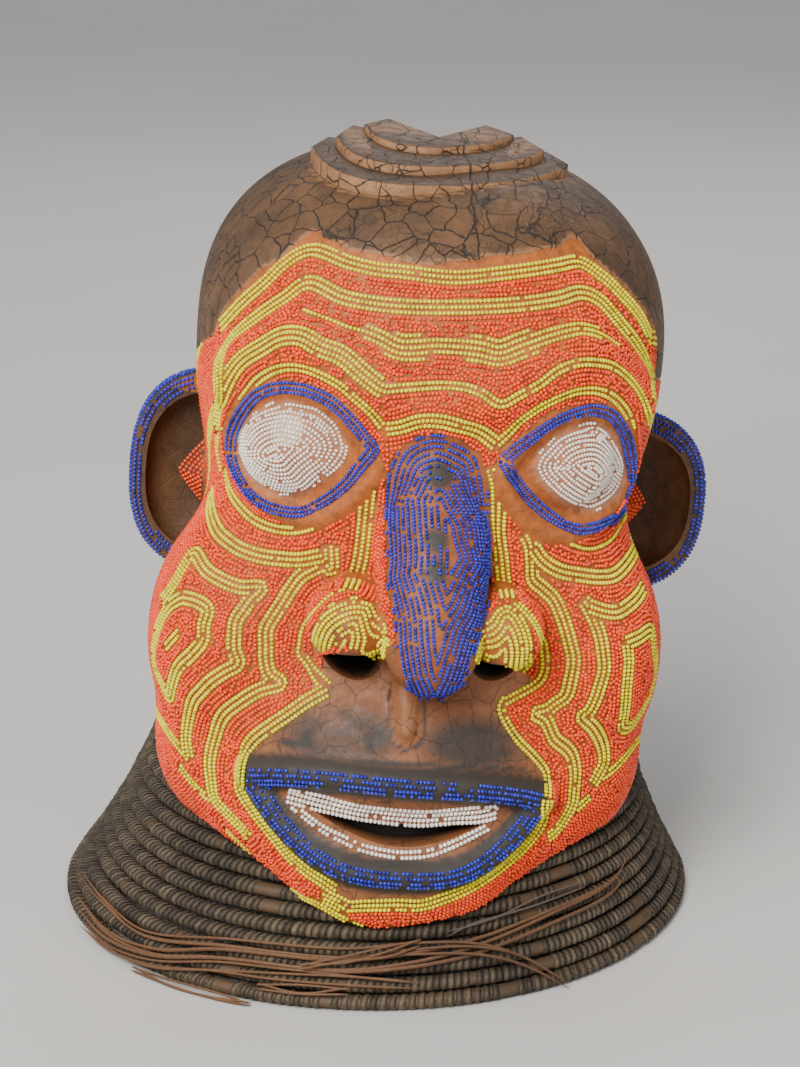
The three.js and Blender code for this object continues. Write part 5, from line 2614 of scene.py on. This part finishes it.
    def rows_beside(self, courses: Sequence[Course]) -> list[Row]:
        """The rows of stripes, set out on both sides of their middle lines, the inner ones first.

        Args:
            courses: The stripes.

        Returns:
            The rows.
        """
        lines = [course for course in courses if len(course.middle) > 2]
        whole = np.concatenate([course.middle for course in lines])
        tangents = np.concatenate([np.gradient(course.middle, axis=0) for course in lines])
        sides = unit(np.cross(self.form.normals(whole), tangents))
        plans, moved, start = [], [], 0
        for course in lines:
            part = slice(start, start + len(course.middle))
            start = part.stop
            most = math.ceil(course.counts.max() - 0.01)
            for number in sorted(range(most), key=lambda i: abs(i - (most - 1) / 2)):
                offset = (number - (most - 1) / 2) * course.pitch
                plans.append((course, offset))
                moved.append(whole[part] + sides[part] * offset)
        cuts = np.cumsum([len(line) for line in moved])[:-1]
        settled = np.split(self.form.settle(np.concatenate(moved), 3), cuts)
        found = []
        for (course, offset), places in zip(plans, settled):
            shown = abs(offset) <= (course.counts - 1) / 2 * course.pitch + self.shown * course.pitch
            away = nearest(places, course.middle)[0]
            shown &= away > abs(offset) * self.own_side - self.slack
            for part in np.split(np.arange(len(places)), np.flatnonzero(np.diff(shown)) + 1):
                if len(part) > 1 and shown[part[0]]:
                    found.append(Row(places[part], course.hue, lost=course.lost, size=course.size))
        return found

    def stripes(self) -> None:
        """Lays the yellow stripes."""
        self.courses = [*self.traced(BANDS, self.pitch), *self.hidden(SIDE_BANDS)]
        rows = self.rows_beside(self.courses)
        self.laid = np.concatenate([row.line for row in rows])
        self.bed.lay(rows, self.for_stripes)

    def beside_stripes(self, points: Array) -> tuple[Array, Array]:
        """How far places are outside the nearest stripe, and the way to it."""
        found, which = nearest(points, self.laid, self.pitch / 2)
        return found, self.laid[which] - points

    def widths(self, values: Array) -> Array:
        """The width of the gap between stripes, at each of the skin's points.

        Args:
            values: How far each point is outside the nearest stripe.

        Returns:
            The width of the widest round patch that fits there, or nothing where a field is open.
        """
        table = values.reshape(self.skin.shape)
        crest = np.zeros(table.shape, bool)
        for down, across in ((0, 1), (1, 0), (1, 1), (1, -1)):
            ahead = np.roll(table, (-down, -across), (0, 1))
            behind = np.roll(table, (down, across), (0, 1))
            crest |= (table >= ahead) & (table >= behind)
        crest[[0, -1]] = False
        crest[:, [0, -1]] = False
        peaks = np.flatnonzero(crest.ravel() & (values > self.narrowest))
        open_points = np.flatnonzero(values > -2)
        found = np.full(len(values), np.nan)
        at, reach = self.skin.points[peaks].astype(np.float32), values[peaks].astype(np.float32)
        squares = (at**2).sum(1)
        for first in range(0, len(open_points), PART):
            some = open_points[first : first + PART]
            places = self.skin.points[some].astype(np.float32)
            gaps = (places**2).sum(1)[:, None] + squares - 2 * places @ at.T
            within = gaps <= (reach + self.patch_reach) ** 2
            widest = np.where(within, reach, 0).max(1)
            found[some] = np.where(widest > 0, 2 * np.maximum(widest, values[some]), np.nan)
        return found

    def red_fields(self) -> None:
        """Fills what lies between the stripes with rows that run beside them."""
        points = self.skin.points
        values = np.full(len(points), np.nan)
        open_here = self.open_to_beads(points)
        values[open_here] = self.beside_stripes(points[open_here])[0]
        keep = self.under_first_stripe()
        wide = self.widths(values) / self.red_pitch
        plans = []
        for count in range(1, int(min(np.nanmax(wide), self.most_rows)) + 2):
            here = np.abs(wide - count) <= self.fit
            share = np.where(here, values * count / (wide * self.red_pitch), np.nan)
            for number in range((count + 1) // 2):
                plans.append((number, share, min(number + 0.5, count / 2 - self.off_middle)))
        plans += [(number, values / self.red_pitch, number + 0.5) for number in range(self.most_rows)]
        rows = []
        for _, share, level in sorted(plans, key=lambda plan: plan[0]):
            lines = self.skin.chains(share, level)
            rows += [Row(line, Hue.RED) for line in lines if len(line) > 2]
        self.bed.lay(rows, keep)
        self.fill_gaps(np.where(values > 0.5 * self.red_pitch - 0.3, values, np.nan), keep, Hue.RED)

    def under_first_stripe(self) -> Field:
        """Makes the test for places that may carry red: none above the highest stripe.

        Returns:
            The test.
        """
        high = self.skin.round_and_up(self.courses[0].middle)
        order = np.argsort(high[:, 0])

        def test(places: Array) -> Array:
            """Tells which places lie under the highest stripe and may carry red."""
            around = self.skin.round_and_up(places)
            limit = np.interp(around[:, 0], high[order, 0], high[order, 1], left=999, right=999)
            return self.for_red(places) & (around[:, 1] < limit)

        return test

    def fill_gaps(self, values: Array, keep: Field, hue: Hue, size: float = 1.0) -> None:
        """Sets single beads in what is still bare.

        Args:
            values: A number for each of the skin's points that may take a bead: the least come first.
            keep: Tells which places may carry a bead.
            hue: The beads' colour.
            size: Their size, against the usual one.
        """
        table = np.column_stack([self.skin.points, values]).reshape(*self.skin.shape, 4)
        between = [table[:-1] * (1 - share) + table[1:] * share for share in np.arange(0, 1, self.finer)]
        sites = np.concatenate([some.reshape(-1, 4) for some in between])
        sites = sites[np.isfinite(sites[:, 3])]
        sites = sites[np.argsort(sites[:, 3], kind="stable"), :3]
        sites = sites[keep(sites)]
        up = self.form.normals(sites)
        away = self.beside_stripes(sites)[1] if len(self.laid) else np.tile([0.0, 0.0, 1.0], (len(sites), 1))
        along = unit(np.cross(up, away))
        self.bed.rows_laid += 1
        for index, how in enumerate(zip(sites, up, along)):
            self.bed.set_bead(hue, (*how, size), 2 * index, True, False, self.bed.apart_alone)

    def inner_rows(self, edge: Pixels, corners: Pixels, pitch: float, like: Row) -> None:
        """Fills an outline with rows that follow its edge.

        Args:
            edge: The edge, in pixels.
            corners: The whole outline, in pixels.
            pitch: The distance between rows.
            like: A row whose beads all of them have.
        """
        line = resample(self.skin.under_pixels(spline(np.array(edge, float), self.trace)), self.step)
        points = self.skin.points
        values = np.full(len(points), np.nan)
        near = np.linalg.norm(points - line.mean(0), axis=1) < self.inner_reach
        near &= points[:, 1] < self.face_front
        near[near] = self.in_pixels(points[near], corners)
        values[near] = nearest(points[near], line)[0]
        rows = []
        for number in range(int(np.nanmax(values) / pitch)):
            for chain in self.skin.chains(values, (number + 0.5) * pitch):
                if len(chain) > 2:
                    rows.append(replace(like, line=chain))
        keep = partial(self.in_pixels, corners=corners)
        self.bed.lay(rows, keep)
        if like.hue is Hue.WHITE:
            self.fill_gaps(np.where(values > pitch, values, np.nan), keep, like.hue, like.size)

    def eyes(self) -> None:
        """Lays blue rows on the eyelids and white ones round the eyeballs."""
        rings = self.traced(EYE_RINGS, self.eye_pitch, 0.03, 0.88)
        self.bed.lay(self.rows_beside(rings), self.everywhere)
        like = Row(np.empty(0), Hue.WHITE, pitch=self.white_pitch, lost=0.04, size=0.84)
        for outline in EYE_WHITES:
            self.inner_rows((*outline, outline[0]), outline, self.white_pitch, like)

    def lips_and_teeth(self) -> None:
        """Lays blue rows on the lips, partly worn, and white rows of teeth."""
        crests = []
        for name in ("lip0", "lip1"):
            ends, radii = self.form.ridges[name]
            line = self.form.settle(resample(ends, self.step) - [0, radii[0], 0], 5)
            rows = np.full(len(line), self.lip_rows)
            crests.append(Course(line, rows, Hue.BLUE, self.lip_pitch, 0.2, 0.94))
        self.bed.lay(self.rows_beside(crests), self.everywhere)
        self.bed.lay(self.rows_beside(self.traced(TEETH, 2.6, 0.06, 1.05)), self.everywhere)

    def nose(self) -> None:
        """Lays blue rows over the nose and yellow ones over its wings."""
        blue = Row(np.empty(0), Hue.BLUE, lost=0.07, size=0.9)
        yellow = Row(np.empty(0), Hue.YELLOW, lost=0.04)
        self.inner_rows(NOSE_EDGE, NOSE, self.nose_pitch, blue)
        self.inner_rows(LEFT_WING[:10], LEFT_WING, self.wing_pitch, yellow)
        self.inner_rows(RIGHT_WING[:9], RIGHT_WING, self.wing_pitch, yellow)

    def ears(self) -> None:
        """Lays blue rows round the ears' rims and red ones on their lobes."""
        for ear in self.form.ears:
            for inset, back in self.rim_rows:
                self.rim_row(ear, inset, back)
            self.lobe_rows(ear)

    def rim_row(self, ear: Ear, inset: float, back: float) -> None:
        """Lays one blue row on an ear, an inset within its front edge or a way back from it.

        Args:
            ear: The ear.
            inset: How far the row lies within the front edge.
            back: How far behind that edge it lies.
        """
        middle = ear.middle()
        depth = ear.rim_y() + back - ear.y
        lean = (1 - (abs(depth) / ear.depth) ** ear.square) ** (1 / ear.square)
        flat = self.ring(ear.square) * (np.array([ear.reach, ear.half_height]) * lean - inset)
        line = np.stack([flat[:, 0], np.full(len(flat), depth), flat[:, 1]], 1) + middle
        line = resample(line, self.ear_pitch, self.bed.rng.uniform(0, self.ear_pitch))
        fits = self.form.surface(line) > self.ear_root
        fits &= ear.inner().distance(line) > self.dish_gap
        out = unit((line - middle) / np.array(ear.outer().radii) ** 2)
        up = np.tile([0.0, -1.0, 0.0], (len(line), 1)) if inset else out
        self.bed.string(Row(line, Hue.BLUE, lost=0.04, lift=1.0), line, up, fits)

    def lobe_rows(self, ear: Ear) -> None:
        """Lays red rows on an ear's lobe, from its edge to its middle."""
        wide, deep, high = radii = np.array(ear.lobe)
        for share in np.arange(1 - 0.5 * self.red_pitch / wide, 0.05, -self.red_pitch / wide):
            out = deep * (1 - share**ear.point) ** (1 / ear.point)
            flat = self.ring(ear.point) * [wide * share, high * share]
            line = np.stack([flat[:, 0], np.full(len(flat), -out), flat[:, 1]], 1)
            line = resample(line, self.ear_pitch)
            up = unit(np.sign(line) * (np.abs(line) / radii) ** (ear.point - 1) / radii)
            line = line + ear.middle()
            fits = self.form.surface(line) > self.lobe_root
            self.bed.string(Row(line, Hue.RED, lift=0.9), line, up, fits)

    def ring(self, power: float) -> Array:
        """Places round an outline of radius one, squarer than a circle where its power is over 2.

        Args:
            power: How square it is.

        Returns:
            The places, one a row.
        """
        turn = np.linspace(0, 2 * math.pi, 181)
        ends = np.stack([np.cos(turn), np.sin(turn)], 1)
        return np.sign(ends) * np.abs(ends) ** (2 / power)

    def everywhere(self, points: Array) -> Array:
        """Takes every place."""
        return np.ones(len(points), bool)

    def ear_share(self, points: Array) -> Array:
        """Where a place is on an ear and outside the head.

        Args:
            points: Places, one a row.

        Returns:
            One there and nothing elsewhere, for each place.
        """
        on_ear = np.zeros(len(points), bool)
        for ear in self.form.ears:
            on_ear |= ear.outer().distance(points) < 0.6
        return (on_ear & (self.form.surface(points) > 0.4)).astype(float)

    def clay_share(self, points: Array) -> Array:
        """Where clay covers the wood: all of it from a little below the hair.

        Args:
            points: Places, one a row.

        Returns:
            A share for each place.
        """
        scale = np.array([self.degree, 1.0])
        edge = resample(self.bound * scale, 1.0)
        flat = self.skin.round_and_up(points) * scale
        away = nearest(flat, edge)[0]
        return np.clip(0.5 + np.where(self.on_face(points), away, -away) / self.fade, 0, 1)

    def bare_mouth(self, points: Array) -> Array:
        """Tells which places lie round the mouth, below the nose.

        Args:
            points: Places, one a row.

        Returns:
            True for each place that does.
        """
        bare = self.in_pixels(points, MOUTH)
        for corners in (NOSE, LEFT_WING, RIGHT_WING):
            bare &= ~self.in_pixels(points, corners)
        return bare

    def pale_share(self, points: Array) -> Array:
        """Where the bed is pale and dusty: round the eyes and where it is chipped.

        Args:
            points: Places, one a row.

        Returns:
            A share for each place.
        """
        pale = np.zeros(len(points))
        for outline in EYE_WHITES:
            pale = np.maximum(pale, self.eye_dust * self.in_pixels(points, outline))
        pixels = self.skin.photograph.pixels(points)
        for patch in CHIPS:
            near = np.linalg.norm(pixels - [patch.x, patch.y], axis=1) < patch.reach
            pale = np.maximum(pale, patch.lost * (near & (points[:, 1] < self.rear)))
        return pale

    def stain_and_shade_share(self, points: Array) -> Array:
        """Where the bare mouth is dark and smooth with stains, with painted shadow round the philtrum's tab
        and painted shade along the carved groove.

        Args:
            points: Places, one a row.

        Returns:
            A share for each place.
        """
        pixels = self.skin.photograph.pixels(points)
        share = np.zeros(len(points))
        for patch in STAINS:
            away = np.linalg.norm((pixels - [patch.x, patch.y]) * [1, 2], axis=1) / patch.reach
            share = np.maximum(share, patch.lost * np.clip(2 - 2 * away, 0, 1))
        line = np.column_stack([np.array(self.form.philtrum), np.zeros(2)])[:, [0, 2, 1]]
        tab = nearest(points * [1, 0, 1], resample(line, 1.0))[0]
        share *= np.clip((tab - self.tab) / 1.5, 0, 1)
        # painted shadow: a dark ring round the raised philtrum's tab
        edge = (tab > self.tab) & (tab < self.tab + self.tab_edge) & (points[:, 2] < self.tab_top)
        share = np.maximum(share, 0.9 * edge)
        # painted shade: a dark line along the carved groove under the muzzle
        groove = nearest(pixels, resample(np.array(GROOVE, float), 2.0))[0]
        return np.maximum(share, np.clip(2 - groove / self.groove, 0, 1))


# The head's solid


@dataclass
class CarvedHead:
    """The carved block: face, ears, stepped crest and the hollow for the wearer."""

    form: HeadForm
    stance: Stance
    front: float = 80.0
    front_columns: int = 268
    back_columns: int = 100
    rows: int = 160
    dome_rows: int = 60
    bed_depth: float = 1.2
    hollow_x: float = 2.0
    hollow_radii: tuple[float, float] = (94.0, 103.4)
    hollow_shoulder: float = 230.0
    hollow_top: float = 352.0
    hollow_foot: float = -20.0
    hollow_steps: int = 14
    hollow_sides: int = 64
    beyond: float = 60.0
    crest_dip: float = math.radians(4.6)
    crest_root: float = 335.0
    crest_x: float = 2.0
    crest_edge: float = 1.1
    tiers: tuple[Tier, ...] = (
        Tier(62, -2, -63, -20, 54, 17, 0, 379.8),
        Tier(50.5, 3.5, -45, -17, 42, 26, -2, 384.2),
        Tier(36.5, 17, -21.5, -10, 25, 31, 1, 387.4),
    )
    nostrils: tuple[tuple[Swelling, float], ...] = (
        (Swelling((-31, -134, 163), (16, 30, 11)), 14.0),
        (Swelling((38, -133, 163), (13, 30, 10)), -8.0),
    )
    slit: tuple[tuple[float, float], ...] = ((-50, 97), (41, 92))
    slit_sag: float = 6.5
    slit_height: float = 10.5
    slit_depth: float = 52.0
    slit_steps: int = 24
    seat_gap: float = 1.2
    touch_gap: float = 0.35
    lip_paste: float = 9.5
    paste_edge: float = 1.5
    nose_paste: float = 0.3
    chipped: float = 0.33
    smooth_below: float = 50.0

    def grid(self) -> tuple[Array, Array]:
        """Measures the surface along a grid of rays from the head's axis.

        Returns:
            The places, rows by columns, and each column's angle from the front.
        """
        front = np.linspace(-self.front, self.front, self.front_columns)
        back = np.linspace(self.front, 360 - self.front, self.back_columns + 2)[1:-1]
        angles = np.radians(np.concatenate([front, back]))
        level = np.concatenate([np.linspace(0, 1, self.rows), np.ones(self.dome_rows)])
        lift = np.concatenate([np.zeros(self.rows), np.linspace(0, math.pi / 2, self.dome_rows + 2)[1:-1]])
        height = self.form.foot + (self.form.dome_start - self.form.foot) * level
        starts = np.zeros((len(level), len(angles), 3))
        starts[..., 1] = self.form.axis_y
        starts[..., 2] = height[:, None]
        directions = np.stack(
            [
                np.outer(np.cos(lift), np.sin(angles)),
                -np.outer(np.cos(lift), np.cos(angles)),
                np.outer(np.sin(lift), np.ones(len(angles))),
            ],
            -1,
        )
        reach = self.form.reach(self.form.surface, starts.reshape(-1, 3), directions.reshape(-1, 3))
        return starts + directions * reach.reshape(len(level), -1, 1), angles

    def block(self, grid: Array) -> bpy.types.Object:
        """Closes the grid of the surface into a solid.

        Args:
            grid: The surface, rows by columns.

        Returns:
            The solid.
        """
        form = self.form
        start = np.array([[0, form.axis_y, form.dome_start]])
        rise = form.reach(form.surface, start, np.array([[0.0, 0.0, 1.0]]))[0]
        top = [0, form.axis_y, form.dome_start + rise]
        return capped("carved_wood", grid, [0, form.axis_y, form.foot], top)

    def hollow(self) -> bpy.types.Object:
        """The hollow for the wearer: straight sides and a rounded top.

        Returns:
            The solid that is cut away.
        """
        turn = np.linspace(0, math.pi / 2, self.hollow_steps)[:-1]
        rise = self.hollow_shoulder + (self.hollow_top - self.hollow_shoulder) * np.sin(turn)
        arc = np.stack([np.cos(turn), rise], 1)
        foot = [[0, self.hollow_foot], [1, self.hollow_foot]]
        profile = np.concatenate([foot, arc, [[0, self.hollow_top]]])
        made = lathe("hollow", profile, self.hollow_sides)
        points = vertices(made) * [*self.hollow_radii, 1]
        set_vertices(made, points + [self.hollow_x, self.form.axis_y, 0])
        return made

    def tier(self, tier: Tier) -> bpy.types.Object:
        """One terrace of the crest, with its top edge worn round.

        Args:
            tier: Its sizes.

        Returns:
            The solid.
        """
        outline = tier.outline()
        middle = outline.mean(0)
        inset = outline - (outline - middle) / np.linalg.norm(outline - middle, axis=1)[:, None]
        levels = []
        for flat, z in (
            (outline, self.crest_root),
            (outline, tier.top - self.crest_edge),
            (inset, tier.top - 0.25 * self.crest_edge),
            (2 * inset - outline, tier.top),
        ):
            levels.append(np.column_stack([flat, np.full(len(flat), z)]))
        made = loft("tier", levels)
        x, y, z = vertices(made).T
        cos, sin = math.cos(self.crest_dip), math.sin(self.crest_dip)
        back = y * cos - z * sin + self.crest_root * sin
        tilted = np.stack([x + self.crest_x, back, y * sin + z * cos], 1)
        set_vertices(made, tilted)
        return made

    def ear(self, ear: Ear) -> bpy.types.Object:
        """An ear: a thick bowl with a flat rim, and its lobe.

        Args:
            ear: Its sizes.

        Returns:
            The solid.
        """
        made = bowl("ear", ear.outer(), 64, 40)
        combine(made, bowl("dish", ear.inner(), 64, 40), "DIFFERENCE")
        across = 2 * ear.half_height
        low, high = ear.middle() - across, ear.middle() + across
        high[1] = ear.rim_y()
        combine(made, box_solid("before", low, high), "DIFFERENCE")
        lobe = Swelling(tuple(ear.middle()), ear.lobe, square=ear.point)
        combine(made, bowl("lobe", lobe, 24, 16), "UNION")
        return made

    def mouth_slit(self) -> bpy.types.Object:
        """The opening between the rows of teeth.

        Returns:
            The solid that is cut away.
        """
        along = np.linspace(0, 1, self.slit_steps + 1)
        (x0, z0), (x1, z1) = self.slit
        hang = np.sin(math.pi * along)
        x = x0 + (x1 - x0) * along
        upper = z0 + (z1 - z0) * along - self.slit_sag * hang
        lower = upper - self.slit_height * hang
        outline = np.concatenate([np.stack([x, upper], 1), np.stack([x, lower], 1)[-2:0:-1]])
        hollow = self.form.mouth_hollow
        front = hollow.at[1] - hollow.radii[1]
        levels = [
            np.column_stack([outline[:, 0], np.full(len(outline), y), outline[:, 1]])
            for y in (front + self.slit_depth, front)
        ]
        return loft("slit", levels)

    def build(self, grid: Array, collar: "BasketCollar") -> bpy.types.Object:
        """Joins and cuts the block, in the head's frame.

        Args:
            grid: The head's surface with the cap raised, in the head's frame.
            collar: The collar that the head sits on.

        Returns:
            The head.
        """
        made = self.block(grid)
        for ear in self.form.ears:
            combine(made, self.ear(ear), "UNION")
        for tier in self.tiers:
            combine(made, self.tier(tier), "UNION")
        combine(made, self.hollow(), "DIFFERENCE")
        for form, roll in self.nostrils:
            nostril = bowl("nostril", Swelling((0, 0, 0), form.radii), 32, 20)
            turned = vertices(nostril) @ np.array(Matrix.Rotation(math.radians(roll), 3, "Y")).T
            set_vertices(nostril, turned + form.at)
            combine(made, nostril, "DIFFERENCE")
        combine(made, self.mouth_slit(), "DIFFERENCE")
        seat = collar.seat(self.seat_gap, self.touch_gap, self.beyond)
        set_vertices(seat, self.stance.mask_to_head(vertices(seat)))
        combine(made, seat, "DIFFERENCE")
        return made

    def cut_back(self, grid: Array, pattern: BeadPattern) -> Array:
        """Cuts the surface back where beads are bedded in clay.

        Args:
            grid: The head's surface, rows by columns.
            pattern: The beads' pattern.

        Returns:
            The surface cut back, with soft edges.
        """
        share = pattern.clay_share(grid.reshape(-1, 3)).reshape(grid.shape[:2])
        for axis in (0, 1):
            share = (np.roll(share, 1, axis) + 2 * share + np.roll(share, -1, axis)) / 4
        normals = self.form.normals(grid.reshape(-1, 3)).reshape(grid.shape)
        return grid - normals * (self.bed_depth * share[..., None])

    def crest_share(self, places: Array, surface: Array) -> Array:
        """Which places are on the crest, from their distances to the dome's surface.

        Args:
            places: Places, one a row.
            surface: The distance of each to the dome.

        Returns:
            One for a place on the crest.
        """
        cos, sin = math.cos(self.crest_dip), math.sin(self.crest_dip)
        x = places[:, 0] - self.crest_x
        y = (places[:, 1] - self.crest_root * sin) * cos + places[:, 2] * sin
        outline = self.tiers[0].outline()
        grown = outline + unit(outline - outline.mean(0))
        inside = inside_polygon(np.stack([x, y], 1), grown.tolist())
        return (inside & (places[:, 2] > self.crest_root) & (surface > -0.5)).astype(float)

    def dress(self, head: bpy.types.Object, pattern: BeadPattern) -> bpy.types.Object:
        """Marks where clay, bare wood, dark paste, stains, and painted light and shade show, and takes the
        head to its place.

        Args:
            head: The carved block, in the head's frame.
            pattern: The beads' pattern.

        Returns:
            The head, finished.
        """
        places = vertices(head)
        surface = self.form.surface(places)
        ear = pattern.ear_share(places)
        mouth = pattern.bare_mouth(places).astype(float)
        lips = np.concatenate([resample(self.form.ridges[name][0], 1.0) for name in ("lip0", "lip1")])
        near_lips = np.clip((self.lip_paste - nearest(places, lips)[0]) / self.paste_edge, 0, 1)
        pale = pattern.pale_share(places)
        worn = pattern.worn(places) * (pale < self.chipped)
        smeared = near_lips * mouth + worn + self.nose_paste * pattern.in_pixels(places, NOSE)
        shares = {
            "clay": pattern.clay_share(places) * (1 - ear),
            "bare": mouth,
            "paste": np.clip(smeared, 0, 1),
            "pale": pale,
            "ear": ear,
            # stains, with painted shadow round the philtrum's tab and painted shade in the groove
            "stain": pattern.stain_and_shade_share(places),
            "crest": self.crest_share(places, surface),
            # painted shade where the block is cut deep in: nostrils, the mouth's slit, the hollow and the
            # seat
            "deep": np.clip(-surface / 3 - 0.6, 0, 1),
        }
        for name, share in shares.items():
            set_attribute(head, name, share)
        set_vertices(head, self.stance.head_to_metres(places))
        head.data.materials.clear()
        head.data.materials.append(WoodFinish().make())
        shade_smooth(head, self.smooth_below)
        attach(head, BODY)
        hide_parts("carved_head")
        return head


def box_solid(name: str, low: Array, high: Array) -> bpy.types.Object:
    """A box between two corners.

    Args:
        name: The object's name.
        low: Its lowest corner.
        high: Its highest corner.

    Returns:
        The solid.
    """
    levels = []
    for z in (low[2], high[2]):
        corners = [(low[0], low[1]), (high[0], low[1]), (high[0], high[1]), (low[0], high[1])]
        levels.append(np.array([[x, y, z] for x, y in corners]))
    return loft(name, levels)


# The room


@dataclass
class Studio:
    """A plain pale floor under soft lights, and the camera."""

    photograph: Photograph
    floor: FloorFinish = FloorFinish()
    floor_size: float = 40.0
    floor_depth: float = 0.02
    middle: tuple[float, float, float] = (0.0, 0.0, 0.2)
    lights: tuple[tuple, ...] = (
        ("key", (-0.6, -1.6, 1.3), 0.7, 42, 0.05),
        ("fill", (1.5, -1.1, 0.9), 1.2, 11, 0.0),
        ("back", (0.4, 1.6, 1.5), 1.2, 12, 0.0),
        ("left", (-1.7, 0.2, 0.9), 1.0, 8, 0.0),
    )
    sky: float = 1.4
    sky_from: tuple[float, float, float] = (-0.9, -1.4, 2.2)
    sky_spread: float = math.radians(30)
    air: tuple[float, float, float, float] = (0.84, 0.84, 0.85, 1.0)
    air_strength: float = 0.28

    def light(self, name: str, at: Sequence[float], size: float, power: float, warmth: float) -> None:
        """Adds a soft square light that faces the mask.

        Args:
            name: The light's name.
            at: Where it stands, in metres.
            size: The length of its side.
            power: How strong it is, in watts.
            warmth: How much blue is taken out, from 0 to 1.
        """
        data = bpy.data.lights.new(name, "AREA")
        data.size, data.energy = size, power
        data.color = (1.0, 1.0 - 0.35 * warmth, 1.0 - warmth)
        made = add_object(name, data)
        made.location = at
        made.rotation_euler = (Vector(self.middle) - made.location).to_track_quat("-Z", "Y").to_euler()

    def build(self) -> None:
        """Makes the camera, the floor and the lights."""
        self.photograph.make_camera()
        half = self.floor_size / 2
        floor = box_solid("floor", np.array([-half, -half, -self.floor_depth]), np.array([half, half, 0.0]))
        floor.data.materials.append(self.floor.make())
        for light in self.lights:
            self.light(*light)
        sun = bpy.data.lights.new("sky", "SUN")
        sun.energy, sun.angle = self.sky, self.sky_spread
        above = add_object("sky", sun)
        above.location = self.sky_from
        above.rotation_euler = (-above.location).to_track_quat("-Z", "Y").to_euler()
        world = bpy.data.worlds.new("air")
        world.use_nodes = True
        background = world.node_tree.nodes["Background"]
        background.inputs["Color"].default_value = self.air
        background.inputs["Strength"].default_value = self.air_strength
        bpy.context.scene.world = world


@dataclass
class BeadMaker:
    """Makes the beads: a small barrel for each, in a piece for each colour."""

    scatter: Scatter
    across: float = 2.2
    length: float = 1.55
    sides: int = 5
    shape: tuple[tuple[float, float], ...] = ((-0.5, 0.62), (0.0, 1.0), (0.5, 0.62))
    most: int = 6000
    seed: int = 20
    finishes: tuple[tuple[Hue, BeadFinish], ...] = (
        (
            Hue.YELLOW,
            BeadFinish("beads_yellow", Colour(244, 234, 8), Colour(206, 190, 4), Colour(138, 112, 34)),
        ),
        (Hue.RED, BeadFinish("beads_red", Colour(250, 82, 32), Colour(216, 40, 14), Colour(222, 104, 54))),
        (Hue.BLUE, BeadFinish("beads_blue", Colour(42, 54, 186), Colour(16, 20, 112), Colour(98, 84, 100))),
        (
            Hue.WHITE,
            BeadFinish("beads_white", Colour(255, 248, 238), Colour(232, 214, 196), Colour(200, 156, 120)),
        ),
    )

    def barrel(self) -> bpy.types.Object:
        """One bead along the X axis, in metres.

        Returns:
            The bead.
        """
        turn = np.arange(self.sides) / self.sides * 2 * math.pi
        flat = np.stack([np.cos(turn), np.sin(turn)], 1)
        rings = []
        for x, radius in self.shape:
            along = np.full(self.sides, x * self.length)
            rings.append(np.column_stack([along, radius * self.across / 2 * flat]) * METRES)
        return loft("bead", rings)

    def build(self, bed: BeadBed) -> list[bpy.types.Object]:
        """Makes the pieces, none of them too large.

        Args:
            bed: The beads that have found a place.

        Returns:
            The pieces.
        """
        barrel = self.barrel()
        pieces = []
        for hue, finish in self.finishes:
            places = bed.places(hue)
            material = finish.make()
            order = np.argsort(places.points[:, 0], kind="stable")
            parts = np.array_split(order, math.ceil(len(order) / self.most))
            for number, part in enumerate(parts):
                name = f"beads_{hue.value}_{number + 1}"
                seed = self.seed + number
                pieces.append(self.scatter.lay(name, barrel, places.part(part), material, seed=seed))
            LOG.info("%s beads: %d", hue.value, len(order))
        discard(barrel)
        for piece in pieces:
            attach(piece, BODY)
        return pieces


def main() -> None:
    """Builds the mask piece by piece."""
    logging.basicConfig(level=logging.INFO, format="%(relativeCreated)d %(name)s: %(message)s")
    stance = Stance.from_frame(BasketCollar.lean, BasketCollar.widest / BasketCollar.height)
    photograph = Photograph(stance)
    Studio(photograph).build()
    form = HeadForm()
    collar = BasketCollar(stance)
    carving = CarvedHead(form, stance)
    grid, angles = carving.grid()
    LOG.info("measured the head: %d by %d places", *grid.shape[:2])
    skin = Skin(form, photograph, grid, angles)
    bed = BeadBed(form, stance, np.random.default_rng(SEED))
    pattern = BeadPattern(form, skin, bed, collar, stance)
    upper = pattern.eyes, pattern.stripes, pattern.nose
    for lay in (*upper, pattern.lips_and_teeth, pattern.ears, pattern.red_fields):
        lay()
        LOG.info("%s: %d rows so far", lay.__name__, bed.rows_laid)
    head = carving.dress(carving.build(carving.cut_back(grid, pattern), collar), pattern)
    LOG.info("carved the head: %d vertices", len(head.data.vertices))
    sweep, scatter = Sweep(), Scatter()
    beads = BeadMaker(scatter).build(bed)
    LOG.info("set the beads: %d pieces", len(beads))
    dressing = CollarDressing(collar, sweep, scatter).build()
    LOG.info("wound the collar: %d pieces", len(dressing))
    strips = LooseSplints(collar, sweep).build()
    LOG.info("laid %d loose strips", len(strips))


if __name__ == "__main__":
    main()
